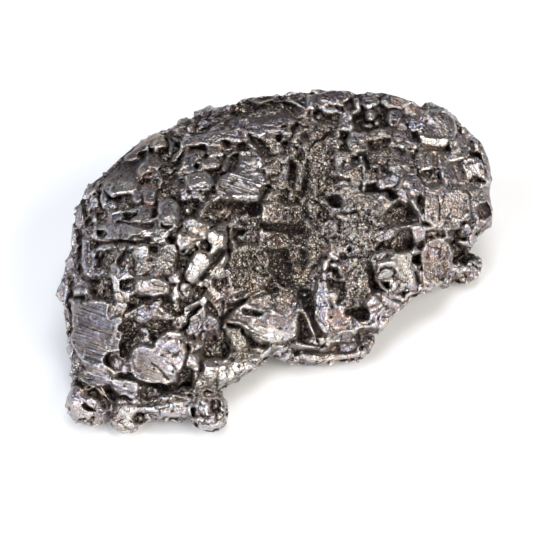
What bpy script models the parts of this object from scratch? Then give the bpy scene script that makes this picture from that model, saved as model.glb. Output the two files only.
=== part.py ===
"""Iron meteorite: one cleaned, lumpy piece of nickel iron that rests on its own knobs.

Run with blender --background --python part.py. Metres, +Z up, front toward -Y.

The stone is set out on a survey grid, a plane that faces the stone's front from 45 degrees
above: "across" runs right, "down" runs down the plane and "toward" stands out of it. The grid
is read from an eye EYE metres away, so steps nearer the eye are smaller. One step on the plane
through the grid's zero is STEP metres, worked out from the stone's real length.
"""
import math
from collections import namedtuple

import bmesh
import bpy
import numpy as np

# Real sizes
LENGTH = 0.076
LENGTH_STEPS = 434.0
STEP = LENGTH / LENGTH_STEPS
EYE = 0.50
EYE_STEPS = EYE / STEP
SLOPE = math.sin(math.radians(45.0))

# Where the grid sits: the point under the eye, the floor's level and the footprint's middle
AIM_ACROSS = 266.5
AIM_DOWN = 266.5
FLOOR_STEPS = 4.6
MIDDLE_X = 13.1
MIDDLE_Y = -53.7

# Mesh sizes
BODY_CUTS = 6
SHAPE_VOXEL = 0.00045
SOLID_VOXEL = 0.00050
TRIANGLES = 9300
WORN_FLAT = 0.00012

# The body's outline seen from the eye: across, down, and the height of that edge above the floor
OUTLINE = [
    (60, 282, 62), (65, 268, 66), (71, 250, 72), (73, 223, 80), (78, 204, 86), (87, 188, 92),
    (104, 172, 98), (123, 155, 104), (135, 145, 106), (153, 133, 110), (172, 128, 112),
    (189, 119, 114), (204, 110, 116), (230, 106, 118), (250, 98, 122), (280, 94, 124),
    (317, 91, 126), (334, 89, 128), (353, 93, 128), (386, 93, 126), (412, 101, 120),
    (422, 108, 116), (444, 108, 112), (460, 122, 100), (464, 131, 96), (481, 141, 86),
    (488, 156, 76), (493, 180, 64), (488, 191, 58), (493, 208, 54), (492, 224, 46),
    (477, 235, 38), (472, 249, 34), (460, 262, 30), (448, 281, 32), (426, 290, 34),
    (409, 300, 36), (395, 314, 36), (379, 331, 34), (350, 338, 30), (333, 346, 26),
    (320, 350, 24), (293, 346, 22), (275, 350, 20), (262, 365, 16), (240, 377, 14),
    (222, 388, 13), (200, 396, 14), (160, 398, 14), (120, 398, 16), (90, 392, 18),
    (76, 376, 22), (72, 353, 30), (65, 315, 46),
]
CENTRE_ACROSS = 278
CENTRE_DOWN = 250
SKIN = 1.0

# The front's broad form: across, down, height above the floor
CROWN = [
    (120, 300, 112), (90, 250, 110), (140, 240, 140), (180, 290, 116), (200, 240, 134),
    (160, 190, 138), (110, 210, 122), (120, 360, 66), (180, 372, 60), (85, 330, 74),
    (222, 345, 46), (262, 325, 56), (285, 265, 82), (300, 200, 112), (236, 200, 132),
    (250, 150, 134), (330, 130, 136), (310, 240, 94), (300, 310, 62), (350, 250, 99),
    (340, 315, 64), (400, 200, 120), (400, 275, 70), (450, 180, 108), (450, 230, 80),
    (400, 130, 128), (440, 270, 46),
]

# The back wall: across, and how far it stands behind the floor point under the grid's zero
BACK_WALL = [
    (60, -78), (73, -14), (87, 22), (104, 39), (135, 70), (172, 89), (204, 110), (250, 122),
    (317, 128), (386, 125), (444, 116), (460, 109), (481, 94), (493, 62),
]
UNDERSIDE = 11.0
FRONT_FULLNESS = 4.0
BACK_FULLNESS = 2.6
WALL_FULLNESS = 12.0
WALL_BLEND = 40.0

# Knobs and feet: across, down, height of the middle, radii across, in depth and in height, turn
Knob = namedtuple("Knob", "across down height wide deep high turn")
KNOBS = [
    Knob(89, 402, 20.5, 22, 24, 21, 0),
    Knob(80, 388, 26, 9, 16, 14, 0),
    Knob(209, 411, 18, 20, 21, 20, 0),
    Knob(128, 407, 15, 17, 24, 17, 0),
    Knob(168, 401, 17, 34, 22, 15, 0),
    Knob(310, 343, 15, 53, 26, 15, 4),
    Knob(348, 341, 16, 26, 24, 17, -12),
    Knob(463, 267, 13, 20, 20, 13, -8),
    Knob(440, 269, 18, 18, 22, 14, 0),
]
HIDDEN_FEET = [(-150.0, -30.0), (-55.0, 70.0), (80.0, 80.0), (150.0, 30.0)]
FOOT_RADIUS = 34.0
FOOT_HEIGHT = 15.0

# Worn plates and lumps: middle, half sizes, turn, level, and lean across and down over the face
Plate = namedtuple("Plate", "across down wide high turn level lean_across lean_down")
# Pits, and grooves or ridges along a line
Pit = namedtuple("Pit", "across down wide high turn depth")
Line = namedtuple("Line", "points width level")

PLATES = [
    Plate(122, 187, 18, 6, -6, 5, 0, 2),
    Plate(149, 196, 7, 8, 0, 5, 0, 1),
    Plate(134, 214, 26, 7, 4, 5, 0, 2),
    Plate(124, 231, 28, 8, 2, 7, 0, 2),
    Plate(108, 249, 10, 6, -35, 4, 0, 1),
    Plate(117, 272, 4, 26, 0, 5, 0, 0),
    Plate(126, 275, 9, 5, 0, 4, 0, 0),
    Plate(97, 332, 27, 33, -6, 6, 0, 0),
    Plate(104, 385, 26, 12, 24, 7, 0, 1),
    Plate(150, 366, 30, 16, 24, 9, 0, 2),
    Plate(168, 343, 13, 12, 0, 10, 0, -3),
    Plate(126, 388, 15, 9, 20, 7, 0, 2),
    Plate(194, 361, 9, 10, 0, 6, 0, 2),
    Plate(155, 143, 11, 8, 0, 4, 0, 1),
    Plate(204, 139, 22, 7, -14, 5, 0, 1),
    Plate(196, 161, 13, 9, -15, 4, 0, 1),
    Plate(155, 160, 10, 7, 0, 4, 0, 1),
    Plate(199, 180, 14, 8, 0, 7, 0, 2),
    Plate(169, 214, 11, 16, 10, 10, 0, 2),
    Plate(159, 232, 9, 9, 0, 6, 0, 1),
    Plate(192, 231, 17, 14, -20, 8, 0, -3),
    Plate(218, 238, 8, 12, 30, 8, 1, -4),
    Plate(199, 267, 11, 16, 32, 8, 1, -4),
    Plate(142, 255, 7, 11, 10, 5, 0, -3),
    Plate(168, 258, 9, 16, 0, 6, 0, 0),
    Plate(154, 286, 16, 9, 2, 9, 0, 0),
    Plate(197, 304, 13, 5, -32, 8, 0, -1),
    Plate(196, 322, 12, 7, -50, 8, 0, -2),
    Plate(212, 322, 8, 9, 0, 3, 0, 0),
    Plate(266, 119, 25, 7, -2, 4, 0, 1),
    Plate(257, 132, 34, 5, -3, 5, 0, 1),
    Plate(251, 161, 14, 11, 20, 7, 0, -2),
    Plate(241, 184, 25, 16, -3, 9, 0, 2),
    Plate(277, 170, 12, 18, 6, 5, 0, 1),
    Plate(280, 211, 20, 12, 2, 8, -1, 2),
    Plate(274, 238, 14, 10, 0, 4, 0, 1),
    Plate(250, 268, 23, 24, 10, 4, 0, 0),
    Plate(268, 316, 34, 26, 8, 5, 0, 1),
    Plate(230, 369, 28, 13, -14, 8, 0, -3),
    Plate(335, 96, 18, 7, 0, 4, 0, 1),
    Plate(402, 100, 18, 8, 8, 4, 0, 1),
    Plate(347, 118, 7, 11, 0, 5, 0, 1),
    Plate(359, 139, 12, 11, 0, 8, 0, 2),
    Plate(380, 134, 12, 6, 0, 6, 0, 0),
    Plate(394, 117, 7, 9, 0, 5, 0, 1),
    Plate(344, 163, 9, 14, -8, 7, 0, -1),
    Plate(352, 196, 10, 13, -20, 6, 0, 0),
    Plate(358, 172, 6, 14, 14, 5, 0, 1),
    Plate(388, 182, 11, 7, -4, 6, 0, 1),
    Plate(409, 189, 15, 13, 10, 11, 0, 1),
    Plate(384, 202, 14, 9, -35, 5, 0, 1),
    Plate(437, 127, 20, 18, 4, 9, 0, 1),
    Plate(461, 148, 9, 10, 0, 6, 0, 1),
    Plate(473, 168, 11, 11, 12, 7, 1, 0),
    Plate(426, 160, 9, 9, 0, 5, 0, 1),
    Plate(405, 163, 9, 13, 0, 4, 0, 0),
    Plate(448, 207, 24, 23, 0, 7, 0, 0),
    Plate(437, 262, 15, 22, 6, 8, 0, 0),
    Plate(393, 272, 17, 20, -24, 13, 1, -1),
    Plate(390, 234, 15, 7, -18, 6, 0, -2),
    Plate(352, 280, 18, 22, 0, 5, 0, 0),
    Plate(322, 306, 7, 28, -3, 9, -1, 1),
    Plate(340, 325, 13, 20, 0, 6, 0, 0),
    Plate(377, 308, 12, 18, 35, 7, 0, 0),
    Plate(329, 228, 8, 9, -40, 6, 0, 1),
]
PITS = [
    Pit(124, 201, 9, 6, -20, 6),
    Pit(102, 216, 6, 8, 0, 6),
    Pit(129, 213, 8, 3, 6, 5),
    Pit(104, 258, 9, 9, 0, 8),
    Pit(103, 287, 11, 11, 0, 12),
    Pit(124, 260, 7, 7, 0, 6),
    Pit(112, 362, 8, 9, 0, 9),
    Pit(138, 326, 20, 10, -28, 11),
    Pit(130, 347, 9, 13, 20, 9),
    Pit(174, 145, 6, 7, 0, 5),
    Pit(175, 167, 8, 12, 0, 8),
    Pit(215, 171, 10, 5, -10, 6),
    Pit(171, 190, 9, 9, 0, 11),
    Pit(187, 208, 9, 9, 0, 11),
    Pit(217, 211, 17, 11, -6, 7),
    Pit(184, 258, 5, 12, 10, 8),
    Pit(172, 305, 12, 9, 10, 15),
    Pit(194, 293, 9, 8, -40, 8),
    Pit(216, 346, 12, 12, -40, 15),
    Pit(186, 377, 10, 9, 0, 12),
    Pit(268, 107, 36, 6, -3, 9),
    Pit(266, 147, 12, 7, 20, 8),
    Pit(243, 145, 5, 5, 0, 7),
    Pit(292, 175, 4, 15, 0, 9),
    Pit(307, 174, 3, 12, 0, 6),
    Pit(244, 207, 18, 7, 0, 9),
    Pit(284, 196, 5, 7, 0, 8),
    Pit(286, 229, 20, 4, 4, 7),
    Pit(285, 276, 11, 9, 0, 9),
    Pit(306, 301, 8, 13, -10, 13),
    Pit(298, 326, 5, 12, -12, 9),
    Pit(254, 340, 8, 8, 30, 8),
    Pit(234, 340, 12, 12, 0, 5),
    Pit(328, 114, 12, 6, 0, 8),
    Pit(371, 120, 14, 8, 0, 7),
    Pit(358, 121, 5, 8, 0, 8),
    Pit(380, 145, 10, 5, 0, 7),
    Pit(344, 145, 4, 6, 0, 9),
    Pit(336, 200, 7, 6, 0, 8),
    Pit(431, 175, 10, 5, 0, 8),
    Pit(455, 171, 7, 10, 0, 6),
    Pit(401, 211, 16, 10, 20, 10),
    Pit(396, 244, 19, 5, -18, 11),
    Pit(414, 198, 7, 7, 0, 5),
    Pit(482, 211, 5, 7, 0, 9),
    Pit(460, 238, 7, 9, 0, 9),
    Pit(465, 253, 9, 8, 0, 10),
    Pit(433, 234, 7, 4, 0, 6),
    Pit(417, 259, 5, 3, 0, 7),
    Pit(336, 287, 9, 6, 40, 9),
    Pit(360, 311, 9, 7, 20, 12),
    Pit(372, 276, 3, 12, -24, 9),
]
LINES = [
    Line([(97, 241), (125, 242), (150, 239)], 3, -6),
    Line([(79, 230), (77, 255), (79, 275), (88, 281), (98, 281)], 3, -5),
    Line([(134, 250), (135, 290)], 2.5, -5),
    Line([(69, 275), (70, 320)], 2.5, -4),
    Line([(125, 315), (143, 305)], 3, 6),
    Line([(136, 296), (160, 297)], 3, -7),
    Line([(223, 250), (212, 263), (200, 279), (186, 292)], 3, -9),
    Line([(227, 222), (229, 245), (228, 275), (226, 300)], 3, -7),
    Line([(198, 209), (222, 194)], 3, 7),
    Line([(232, 321), (250, 329), (275, 345)], 4, 7),
    Line([(243, 308), (263, 314)], 2.5, 4),
    Line([(300, 306), (308, 324), (316, 342)], 3, 9),
    Line([(297, 345), (322, 349), (333, 344)], 3.5, 6),
    Line([(352, 331), (380, 326), (402, 311)], 4, 6),
    Line([(366, 189), (395, 190)], 2.5, -6),
    Line([(412, 200), (424, 220)], 3, 7),
    Line([(440, 196), (441, 218)], 2, -5),
    Line([(421, 246), (422, 285)], 3, -5),
    Line([(150, 385), (170, 390), (190, 384)], 5, -10),
    Line([(112, 404), (150, 404), (188, 396)], 3, -5),
    Line([(155, 361), (168, 380)], 2.5, -6),
    Line([(284, 97), (304, 107)], 3, 6),
    Line([(262, 203), (262, 218)], 2.5, 4),
    Line([(280, 288), (250, 298), (228, 306)], 3, -5),
]
RELIEF = 1.25
STEEPEST = 0.8
EDGE_STEPS = 2.2
CORNER = 3.4

# Broken lumps all round, largest first: cell size in steps, rise, crevice depth
LUMPS = [(52.0, 8.0, 4.0), (26.0, 5.0, 3.0)]
FRONT_SHARE = 0.50
RIM_SHARE = 0.10
RIM_MARGIN = 0.05
SEED = 11

METAL_COLOUR = (0.36, 0.34, 0.33, 1.0)
METAL_ROUGHNESS = 0.32


def clear_scene():
    """Empty the scene, so that the script can run in any file."""
    for thing in list(bpy.data.objects):
        bpy.data.objects.remove(thing, do_unlink=True)


def height_to_toward(down, height):
    """How far a point seen at `down` stands toward the eye when it is `height` steps up."""
    rise = AIM_DOWN - down
    return (height / SLOPE + FLOOR_STEPS * 2 ** 0.5 - rise) / (1 - rise / EYE_STEPS)


def behind_to_toward(down, behind):
    """How far a point seen at `down` stands toward the eye when it is `behind` steps back."""
    rise = AIM_DOWN - down
    return (rise - behind / SLOPE) / (1 + rise / EYE_STEPS)


def grid_to_world(across, down, toward):
    """World points in metres for places on the survey grid."""
    near = 1 - toward / EYE_STEPS
    side = (across - AIM_ACROSS) * near
    rise = (AIM_DOWN - down) * near
    x = side - MIDDLE_X
    y = SLOPE * (rise - toward) - MIDDLE_Y
    z = SLOPE * (rise + toward) - FLOOR_STEPS
    return np.stack([x, y, z], axis=-1) * STEP


def world_to_grid(points):
    """Places on the survey grid, across, down and toward, for world points in metres."""
    x, y, z = (points / STEP).T
    x = x + MIDDLE_X
    y = y + MIDDLE_Y
    z = z + FLOOR_STEPS
    toward = SLOPE * (z - y)
    near = 1 - toward / EYE_STEPS
    return AIM_ACROSS + x / near, AIM_DOWN - SLOPE * (y + z) / near, toward


def smooth_surface(places, values):
    """A thin plate bent through values at places on the grid, as a function of two arrays."""
    places = np.array(places, float) / 100
    count = len(places)

    def bend(gap):
        return gap ** 2 * np.log(gap + 1e-9)

    gaps = np.linalg.norm(places[:, None] - places[None], axis=-1)
    flat = np.hstack([np.ones((count, 1)), places])
    matrix = np.block([[bend(gaps), flat], [flat.T, np.zeros((3, 3))]])
    weights = np.linalg.solve(matrix, np.concatenate([values, np.zeros(3)]))

    def surface(across, down):
        here = np.stack([across, down], axis=-1) / 100
        result = weights[count] + here @ weights[count + 1:]
        for place, weight in zip(places, weights):
            result = result + weight * bend(np.linalg.norm(here - place, axis=-1))
        return result

    return surface


def smooth_step(value):
    """Ease from 0 to 1 as the value goes from 0 to 1."""
    value = np.clip(value, 0.0, 1.0)
    return value * value * (3 - 2 * value)


def body_points(directions):
    """World points of the body for directions from its middle, with +Z toward the eye."""
    outline = np.array(OUTLINE, float)
    edge_angle = np.arctan2(outline[:, 1] - CENTRE_DOWN, outline[:, 0] - CENTRE_ACROSS)
    edge_reach = np.hypot(outline[:, 1] - CENTRE_DOWN, outline[:, 0] - CENTRE_ACROSS) + SKIN
    edge_toward = height_to_toward(outline[:, 1], outline[:, 2])
    order = np.argsort(edge_angle)

    angle = np.arctan2(-directions[:, 1], directions[:, 0])
    spread = np.hypot(directions[:, 0], directions[:, 1])
    turn = 2 * math.pi
    reach = np.interp(angle, edge_angle[order], edge_reach[order], period=turn)
    rim = np.interp(angle, edge_angle[order], edge_toward[order], period=turn)
    across = CENTRE_ACROSS + spread * reach * np.cos(angle)
    down = CENTRE_DOWN + spread * reach * np.sin(angle)

    crown_places = [(a, d) for a, d, _ in CROWN]
    crown_values = [height_to_toward(d, height) for _, d, height in CROWN]
    front = smooth_surface(crown_places, crown_values)(across, down)
    wall_across, wall_behind = np.array(BACK_WALL, float).T
    wall = behind_to_toward(down, np.interp(across, wall_across, wall_behind))
    under = height_to_toward(down, UNDERSIDE)
    gap = np.clip(0.5 + 0.5 * (wall - under) / WALL_BLEND, 0, 1)
    back = under * (1 - gap) + wall * gap + WALL_BLEND * gap * (1 - gap)

    bulge_front = np.sqrt(1 - np.clip(spread, 0, 1) ** FRONT_FULLNESS)
    fullness = BACK_FULLNESS * (1 - gap) + WALL_FULLNESS * gap
    bulge_back = np.sqrt(1 - np.clip(spread, 0, 1) ** fullness)
    toward = np.where(
        directions[:, 2] >= 0,
        rim + (front - rim) * bulge_front,
        rim + (np.minimum(back, rim) - rim) * bulge_back,
    )
    return grid_to_world(across, down, toward)


def get_points(mesh):
    """A mesh's points as an array."""
    points = np.empty(len(mesh.vertices) * 3)
    mesh.vertices.foreach_get("co", points)
    return points.reshape(-1, 3)


def get_normals(mesh):
    """A mesh's point normals as an array."""
    normals = np.empty(len(mesh.vertices) * 3)
    mesh.vertex_normals.foreach_get("vector", normals)
    return normals.reshape(-1, 3)


def set_points(mesh, points):
    """Write an array of points back to a mesh."""
    mesh.vertices.foreach_set("co", points.ravel())
    mesh.update()


def add_body(collection):
    """The body: a sphere pulled out to the survey's outline, front, back wall and underside."""
    mesh = bpy.data.meshes.new("meteorite")
    shape = bmesh.new()
    bmesh.ops.create_icosphere(shape, subdivisions=BODY_CUTS, radius=1.0)
    shape.to_mesh(mesh)
    shape.free()
    set_points(mesh, body_points(get_points(mesh)))
    body = bpy.data.objects.new("meteorite", mesh)
    collection.objects.link(body)
    return body


def add_knobs(body):
    """Fuse the knobs and feet into the body's mesh as overlapping balls."""
    shape = bmesh.new()
    shape.from_mesh(body.data)
    for knob in KNOBS:
        place = grid_to_world(
            float(knob.across), float(knob.down), height_to_toward(knob.down, knob.height)
        )
        radii = (knob.wide, knob.deep, knob.high)
        add_ball(shape, place, radii, knob.turn)
    for x, y in HIDDEN_FEET:
        place = np.array([x - MIDDLE_X, y - MIDDLE_Y, FOOT_HEIGHT]) * STEP
        add_ball(shape, place, (FOOT_RADIUS, FOOT_RADIUS, FOOT_HEIGHT + 1), 0)
    shape.to_mesh(body.data)
    shape.free()


def add_ball(shape, place, radii, turn):
    """Add one stretched ball to a bmesh."""
    made = bmesh.ops.create_icosphere(shape, subdivisions=4, radius=STEP)
    cosine = math.cos(math.radians(turn))
    sine = math.sin(math.radians(turn))
    for vert in made["verts"]:
        x = vert.co.x * radii[0]
        z = vert.co.z * radii[2]
        vert.co = (
            place[0] + x * cosine + z * sine,
            place[1] + vert.co.y * radii[1],
            place[2] - x * sine + z * cosine,
        )


def freeze_modifier(thing, kind, settings):
    """Add a modifier, bake its result into the mesh and take the modifier away."""
    modifier = thing.modifiers.new(kind.title(), kind)
    for name, value in settings.items():
        setattr(modifier, name, value)
    view = bpy.context.evaluated_depsgraph_get()
    mesh = bpy.data.meshes.new_from_object(thing.evaluated_get(view))
    thing.modifiers.clear()
    old = thing.data
    thing.data = mesh
    bpy.data.meshes.remove(old)
    mesh.name = thing.name


def remesh(thing, voxel):
    """Fuse a mesh into one even skin."""
    freeze_modifier(thing, "REMESH", {"mode": "VOXEL", "voxel_size": voxel})


def cover_of(across, down, stamp):
    """How far each place is inside a stamp's rounded oblong, 0 outside to 1 inside.

    Also gives the place's own position over the stamp, -1 to 1 across and down.
    """
    cosine = math.cos(math.radians(stamp.turn))
    sine = math.sin(math.radians(stamp.turn))
    x = (across - stamp.across) * cosine + (down - stamp.down) * sine
    y = (down - stamp.down) * cosine - (across - stamp.across) * sine
    x = x / stamp.wide
    y = y / stamp.high
    reach = (np.abs(x) ** CORNER + np.abs(y) ** CORNER) ** (1 / CORNER)
    edge = EDGE_STEPS / min(stamp.wide, stamp.high)
    return smooth_step((1 + edge - reach) / (2 * edge)), x, y


def distance_to_line(across, down, points):
    """Distance of each place to a broken line."""
    best = np.full(across.shape, 1e9)
    for (a0, d0), (a1, d1) in zip(points, points[1:]):
        run_a = a1 - a0
        run_d = d1 - d0
        share = ((across - a0) * run_a + (down - d0) * run_d) / (run_a ** 2 + run_d ** 2)
        share = np.clip(share, 0, 1)
        best = np.minimum(best, np.hypot(across - a0 - share * run_a, down - d0 - share * run_d))
    return best


def front_relief(across, down):
    """The stone's plates, pits, ridges and grooves at places on the grid.

    Gives their rise in steps and how far each place is covered by a worn plate, 0 to 1.
    """
    rise = np.zeros(across.shape)
    worn = np.zeros(across.shape)
    for plate in PLATES:
        cover, x, y = cover_of(across, down, plate)
        face = plate.level + plate.lean_across * x + plate.lean_down * y
        rise = rise * (1 - cover) + face * cover
        worn = np.maximum(worn, cover)
    for pit in PITS:
        cover, _, _ = cover_of(across, down, pit)
        rise = rise * (1 - cover) - pit.depth * cover
    for line in LINES:
        gap = distance_to_line(across, down, line.points) / line.width
        rise = rise + line.level * np.exp(-gap ** 2)
    return rise * RELIEF, worn


def scatter(cells, salt):
    """A random number from 0 to 1 for each whole-number cell, the same at every run."""
    mixed = cells[:, 0] * 73856093 ^ cells[:, 1] * 19349663 ^ cells[:, 2] * 83492791
    mixed = (mixed ^ (salt * 2654435761)) & 0xFFFFFFFF
    mixed = (mixed ^ (mixed >> 15)) * 2246822519 & 0xFFFFFFFF
    mixed = (mixed ^ (mixed >> 13)) * 3266489917 & 0xFFFFFFFF
    return (mixed ^ (mixed >> 16)) / 0xFFFFFFFF


def broken_lumps(points, size, seed):
    """Lumps around scattered middles: each one's own level, -1 to 1, and a crevice mask."""
    places = (points / STEP + (MIDDLE_X, MIDDLE_Y, 0)) / size
    home = np.floor(places).astype(np.int64)
    first = np.full(len(points), 9.0)
    second = np.full(len(points), 9.0)
    level = np.zeros(len(points))
    for step in np.ndindex(3, 3, 3):
        cell = home + np.array(step) - 1
        middle = cell + np.stack([scatter(cell, seed + axis) for axis in range(3)], axis=-1)
        gap = np.linalg.norm(places - middle, axis=-1)
        nearer = gap < first
        second = np.where(nearer, first, np.minimum(second, gap))
        level = np.where(nearer, scatter(cell, seed + 7) * 2 - 1, level)
        first = np.where(nearer, gap, first)
    crevice = np.exp(-((second - first) / 0.12) ** 2)
    return level * (1 - crevice), crevice


def raise_relief(thing):
    """Raise the front's plates and pits toward the eye, and break the other sides into lumps."""
    points = get_points(thing.data)
    normals = get_normals(thing.data)
    facing = SLOPE * (normals[:, 2] - normals[:, 1])
    across, down, toward = world_to_grid(points)
    front = smooth_step(facing / 0.35)
    rise, worn = front_relief(across, down)
    points = grid_to_world(across, down, toward + rise / np.maximum(facing, STEEPEST) * front)

    bare = RIM_SHARE + (FRONT_SHARE - RIM_SHARE) * smooth_step((facing - 0.2) / 0.3) * (1 - worn)
    share = bare + (1 - bare) * smooth_step(-(facing + RIM_MARGIN) / 0.4)
    for index, (size, swell, depth) in enumerate(LUMPS):
        level, crevice = broken_lumps(points, size, SEED + 20 * index)
        height = (level * swell - crevice * depth) * share * STEP
        points = points + normals * height[:, None]
    set_points(thing.data, points)


def flatten_feet(thing):
    """Cut the feet off flat at the floor, as worn contact patches, and keep only triangles."""
    shape = bmesh.new()
    shape.from_mesh(thing.data)
    lowest = min(vert.co.z for vert in shape.verts)
    cut = bmesh.ops.bisect_plane(
        shape,
        geom=shape.verts[:] + shape.edges[:] + shape.faces[:],
        dist=1e-6,
        plane_co=(0, 0, max(lowest, 0) + WORN_FLAT),
        plane_no=(0, 0, 1),
        clear_inner=True,
    )
    rim = [item for item in cut["geom_cut"] if isinstance(item, bmesh.types.BMEdge)]
    bmesh.ops.holes_fill(shape, edges=rim, sides=0)
    bmesh.ops.translate(shape, verts=shape.verts[:], vec=(0, 0, -max(lowest, 0) - WORN_FLAT))
    bmesh.ops.triangulate(shape, faces=shape.faces[:])
    bmesh.ops.recalc_face_normals(shape, faces=shape.faces[:])
    shape.to_mesh(thing.data)
    shape.free()


def give_metal(thing):
    """Cleaned, hand-polished nickel iron."""
    material = bpy.data.materials.new("nickel_iron")
    material.use_nodes = True
    shader = material.node_tree.nodes["Principled BSDF"]
    shader.inputs["Base Color"].default_value = METAL_COLOUR
    shader.inputs["Metallic"].default_value = 1.0
    shader.inputs["Roughness"].default_value = METAL_ROUGHNESS
    thing.data.materials.clear()
    thing.data.materials.append(material)


def main():
    """Build the meteorite."""
    clear_scene()
    collection = bpy.data.collections.new("Meteorite")
    bpy.context.scene.collection.children.link(collection)
    stone = add_body(collection)
    add_knobs(stone)
    remesh(stone, SHAPE_VOXEL)
    raise_relief(stone)
    remesh(stone, SOLID_VOXEL)
    freeze_modifier(stone, "SMOOTH", {"factor": 0.5, "iterations": 2})
    count = sum(len(face.vertices) - 2 for face in stone.data.polygons)
    freeze_modifier(stone, "DECIMATE", {"ratio": TRIANGLES / count})
    flatten_feet(stone)
    give_metal(stone)


main()
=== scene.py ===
"""Iron meteorite: the looks of one cleaned, hand-polished piece of nickel iron on a pale floor.

The stone is set out on a survey grid, a plane that faces its front from 45 degrees above:
"across" runs right, "down" runs down the plane and "toward" stands out of it. One step is
about 0.175 mm. The tables below hold features on that grid, one in each row:

    s across down wide high turn level lean_across lean_down: a worn plate
    p across down wide high turn depth: a pit
    l across down wide high turn base swell: a lump

Rows of numbers alone are faces (level, slope across, slope down and corners), or in the tables
of lines grooves and ridges (width, level and points). Corners and points are the first one's
place and then the steps from each to the next, where a minus sign parts numbers as a space
does. A tint's patch is an oval and its amount.
"""
import logging
import math
import re
from collections.abc import Callable, Sequence
from dataclasses import dataclass, field
from enum import Enum
from itertools import accumulate

import bmesh
import bpy
import numpy as np
from mathutils import Matrix, Vector


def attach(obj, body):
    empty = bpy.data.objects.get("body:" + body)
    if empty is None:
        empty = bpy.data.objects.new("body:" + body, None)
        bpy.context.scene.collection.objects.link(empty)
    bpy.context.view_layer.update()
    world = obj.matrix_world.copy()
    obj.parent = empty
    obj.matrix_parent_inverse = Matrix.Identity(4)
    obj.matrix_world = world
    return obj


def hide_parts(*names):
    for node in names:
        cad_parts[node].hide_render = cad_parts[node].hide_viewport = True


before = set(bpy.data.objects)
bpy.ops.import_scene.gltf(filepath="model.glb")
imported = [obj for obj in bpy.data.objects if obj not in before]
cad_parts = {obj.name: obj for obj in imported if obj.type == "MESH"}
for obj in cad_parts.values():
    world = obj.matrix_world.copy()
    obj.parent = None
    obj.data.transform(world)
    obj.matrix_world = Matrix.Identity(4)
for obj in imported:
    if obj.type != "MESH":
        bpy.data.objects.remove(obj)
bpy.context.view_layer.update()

log = logging.getLogger("meteorite")

NODE = "meteorite"
Array = np.ndarray
Socket = bpy.types.NodeSocket


def smooth_step(value: Array) -> Array:
    """Ease from 0 to 1 as the value goes from 0 to 1."""
    value = np.clip(value, 0.0, 1.0)
    return value * value * (3 - 2 * value)


@dataclass(frozen=True)
class Survey:
    """The survey grid: its real scale and where it sits in the part's frame."""

    length: float = 0.076
    length_steps: float = 434.0
    eye: float = 0.50
    aim_across: float = 266.5
    aim_down: float = 266.5
    floor_steps: float = 4.6
    middle_x: float = 13.1
    middle_y: float = -53.7
    pitch: float = 45.0

    @property
    def slope(self) -> float:
        """Sine of the viewing angle, and its cosine too at 45 degrees."""
        return math.sin(math.radians(self.pitch))

    @property
    def step(self) -> float:
        """One grid step in metres."""
        return self.length / self.length_steps

    @property
    def eye_steps(self) -> float:
        """Distance of the eye in grid steps."""
        return self.eye / self.step

    def height_to_toward(self, down: Array, height: Array) -> Array:
        """How far a point stands toward the eye.

        Args:
            down: Where it is seen, in steps down the grid.
            height: Its height above the floor in steps.

        Returns:
            Its distance out of the grid's plane in steps.
        """
        rise = self.aim_down - down
        above = height / self.slope + self.floor_steps * 2 ** 0.5
        return (above - rise) / (1 - rise / self.eye_steps)

    def behind_to_toward(self, down: Array, behind: Array) -> Array:
        """How far a point on the floor stands toward the eye.

        Args:
            down: Where it is seen, in steps down the grid.
            behind: How many steps it stands back on the floor.

        Returns:
            Its distance out of the grid's plane in steps.
        """
        rise = self.aim_down - down
        return (rise - behind / self.slope) / (1 + rise / self.eye_steps)

    def to_world(self, across: Array, down: Array, toward: Array) -> Array:
        """World points in metres for places on the grid.

        Args:
            across: Steps to the right.
            down: Steps down.
            toward: Steps out of the plane.

        Returns:
            Points, one row each.
        """
        near = 1 - toward / self.eye_steps
        side = (across - self.aim_across) * near
        rise = (self.aim_down - down) * near
        x = side - self.middle_x
        y = self.slope * (rise - toward) - self.middle_y
        z = self.slope * (rise + toward) - self.floor_steps
        return np.stack([x, y, z], axis=-1) * self.step

    def to_grid(self, points: Array) -> tuple[Array, Array, Array]:
        """Places on the grid for world points.

        Args:
            points: World points in metres, one row each.

        Returns:
            Across, down and toward in steps.
        """
        x, y, z = (points / self.step).T
        x = x + self.middle_x
        y = y + self.middle_y
        z = z + self.floor_steps
        toward = self.slope * (z - y)
        near = 1 - toward / self.eye_steps
        return self.aim_across + x / near, self.aim_down - self.slope * (y + z) / near, toward

    def facing(self, normals: Array) -> Array:
        """How squarely each normal looks at the eye, 1 for straight at it."""
        return self.slope * (normals[:, 2] - normals[:, 1])


@dataclass(frozen=True)
class Oval:
    """A turned oval on the grid: its middle, its half sizes and its turn in degrees."""

    across: float
    down: float
    wide: float
    high: float
    turn: float

    def over(self, across: Array, down: Array) -> tuple[Array, Array]:
        """Set places out over the oval.

        Args:
            across: Steps to the right.
            down: Steps down.

        Returns:
            How far each place is from the middle along the oval's two sides, 1 at its ends.
        """
        cosine = math.cos(math.radians(self.turn))
        sine = math.sin(math.radians(self.turn))
        x = (across - self.across) * cosine + (down - self.down) * sine
        y = (down - self.down) * cosine - (across - self.across) * sine
        return x / self.wide, y / self.high


@dataclass(frozen=True)
class Plate(Oval):
    """A worn plate or lump: it sets the relief to its own, possibly leaning, face."""

    level: float
    lean_across: float = 0.0
    lean_down: float = 0.0


@dataclass(frozen=True)
class Pit(Oval):
    """A pit: it sets the relief to its own depth, and keeps oxide on its floor."""

    depth: float


@dataclass(frozen=True)
class Facet:
    """A worn face or a sunk floor with its own corners, level and slopes in steps per step."""

    corners: tuple[tuple[float, float], ...]
    level: float
    slope_across: float = 0.0
    slope_down: float = 0.0
    soft: float = 1.4


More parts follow.
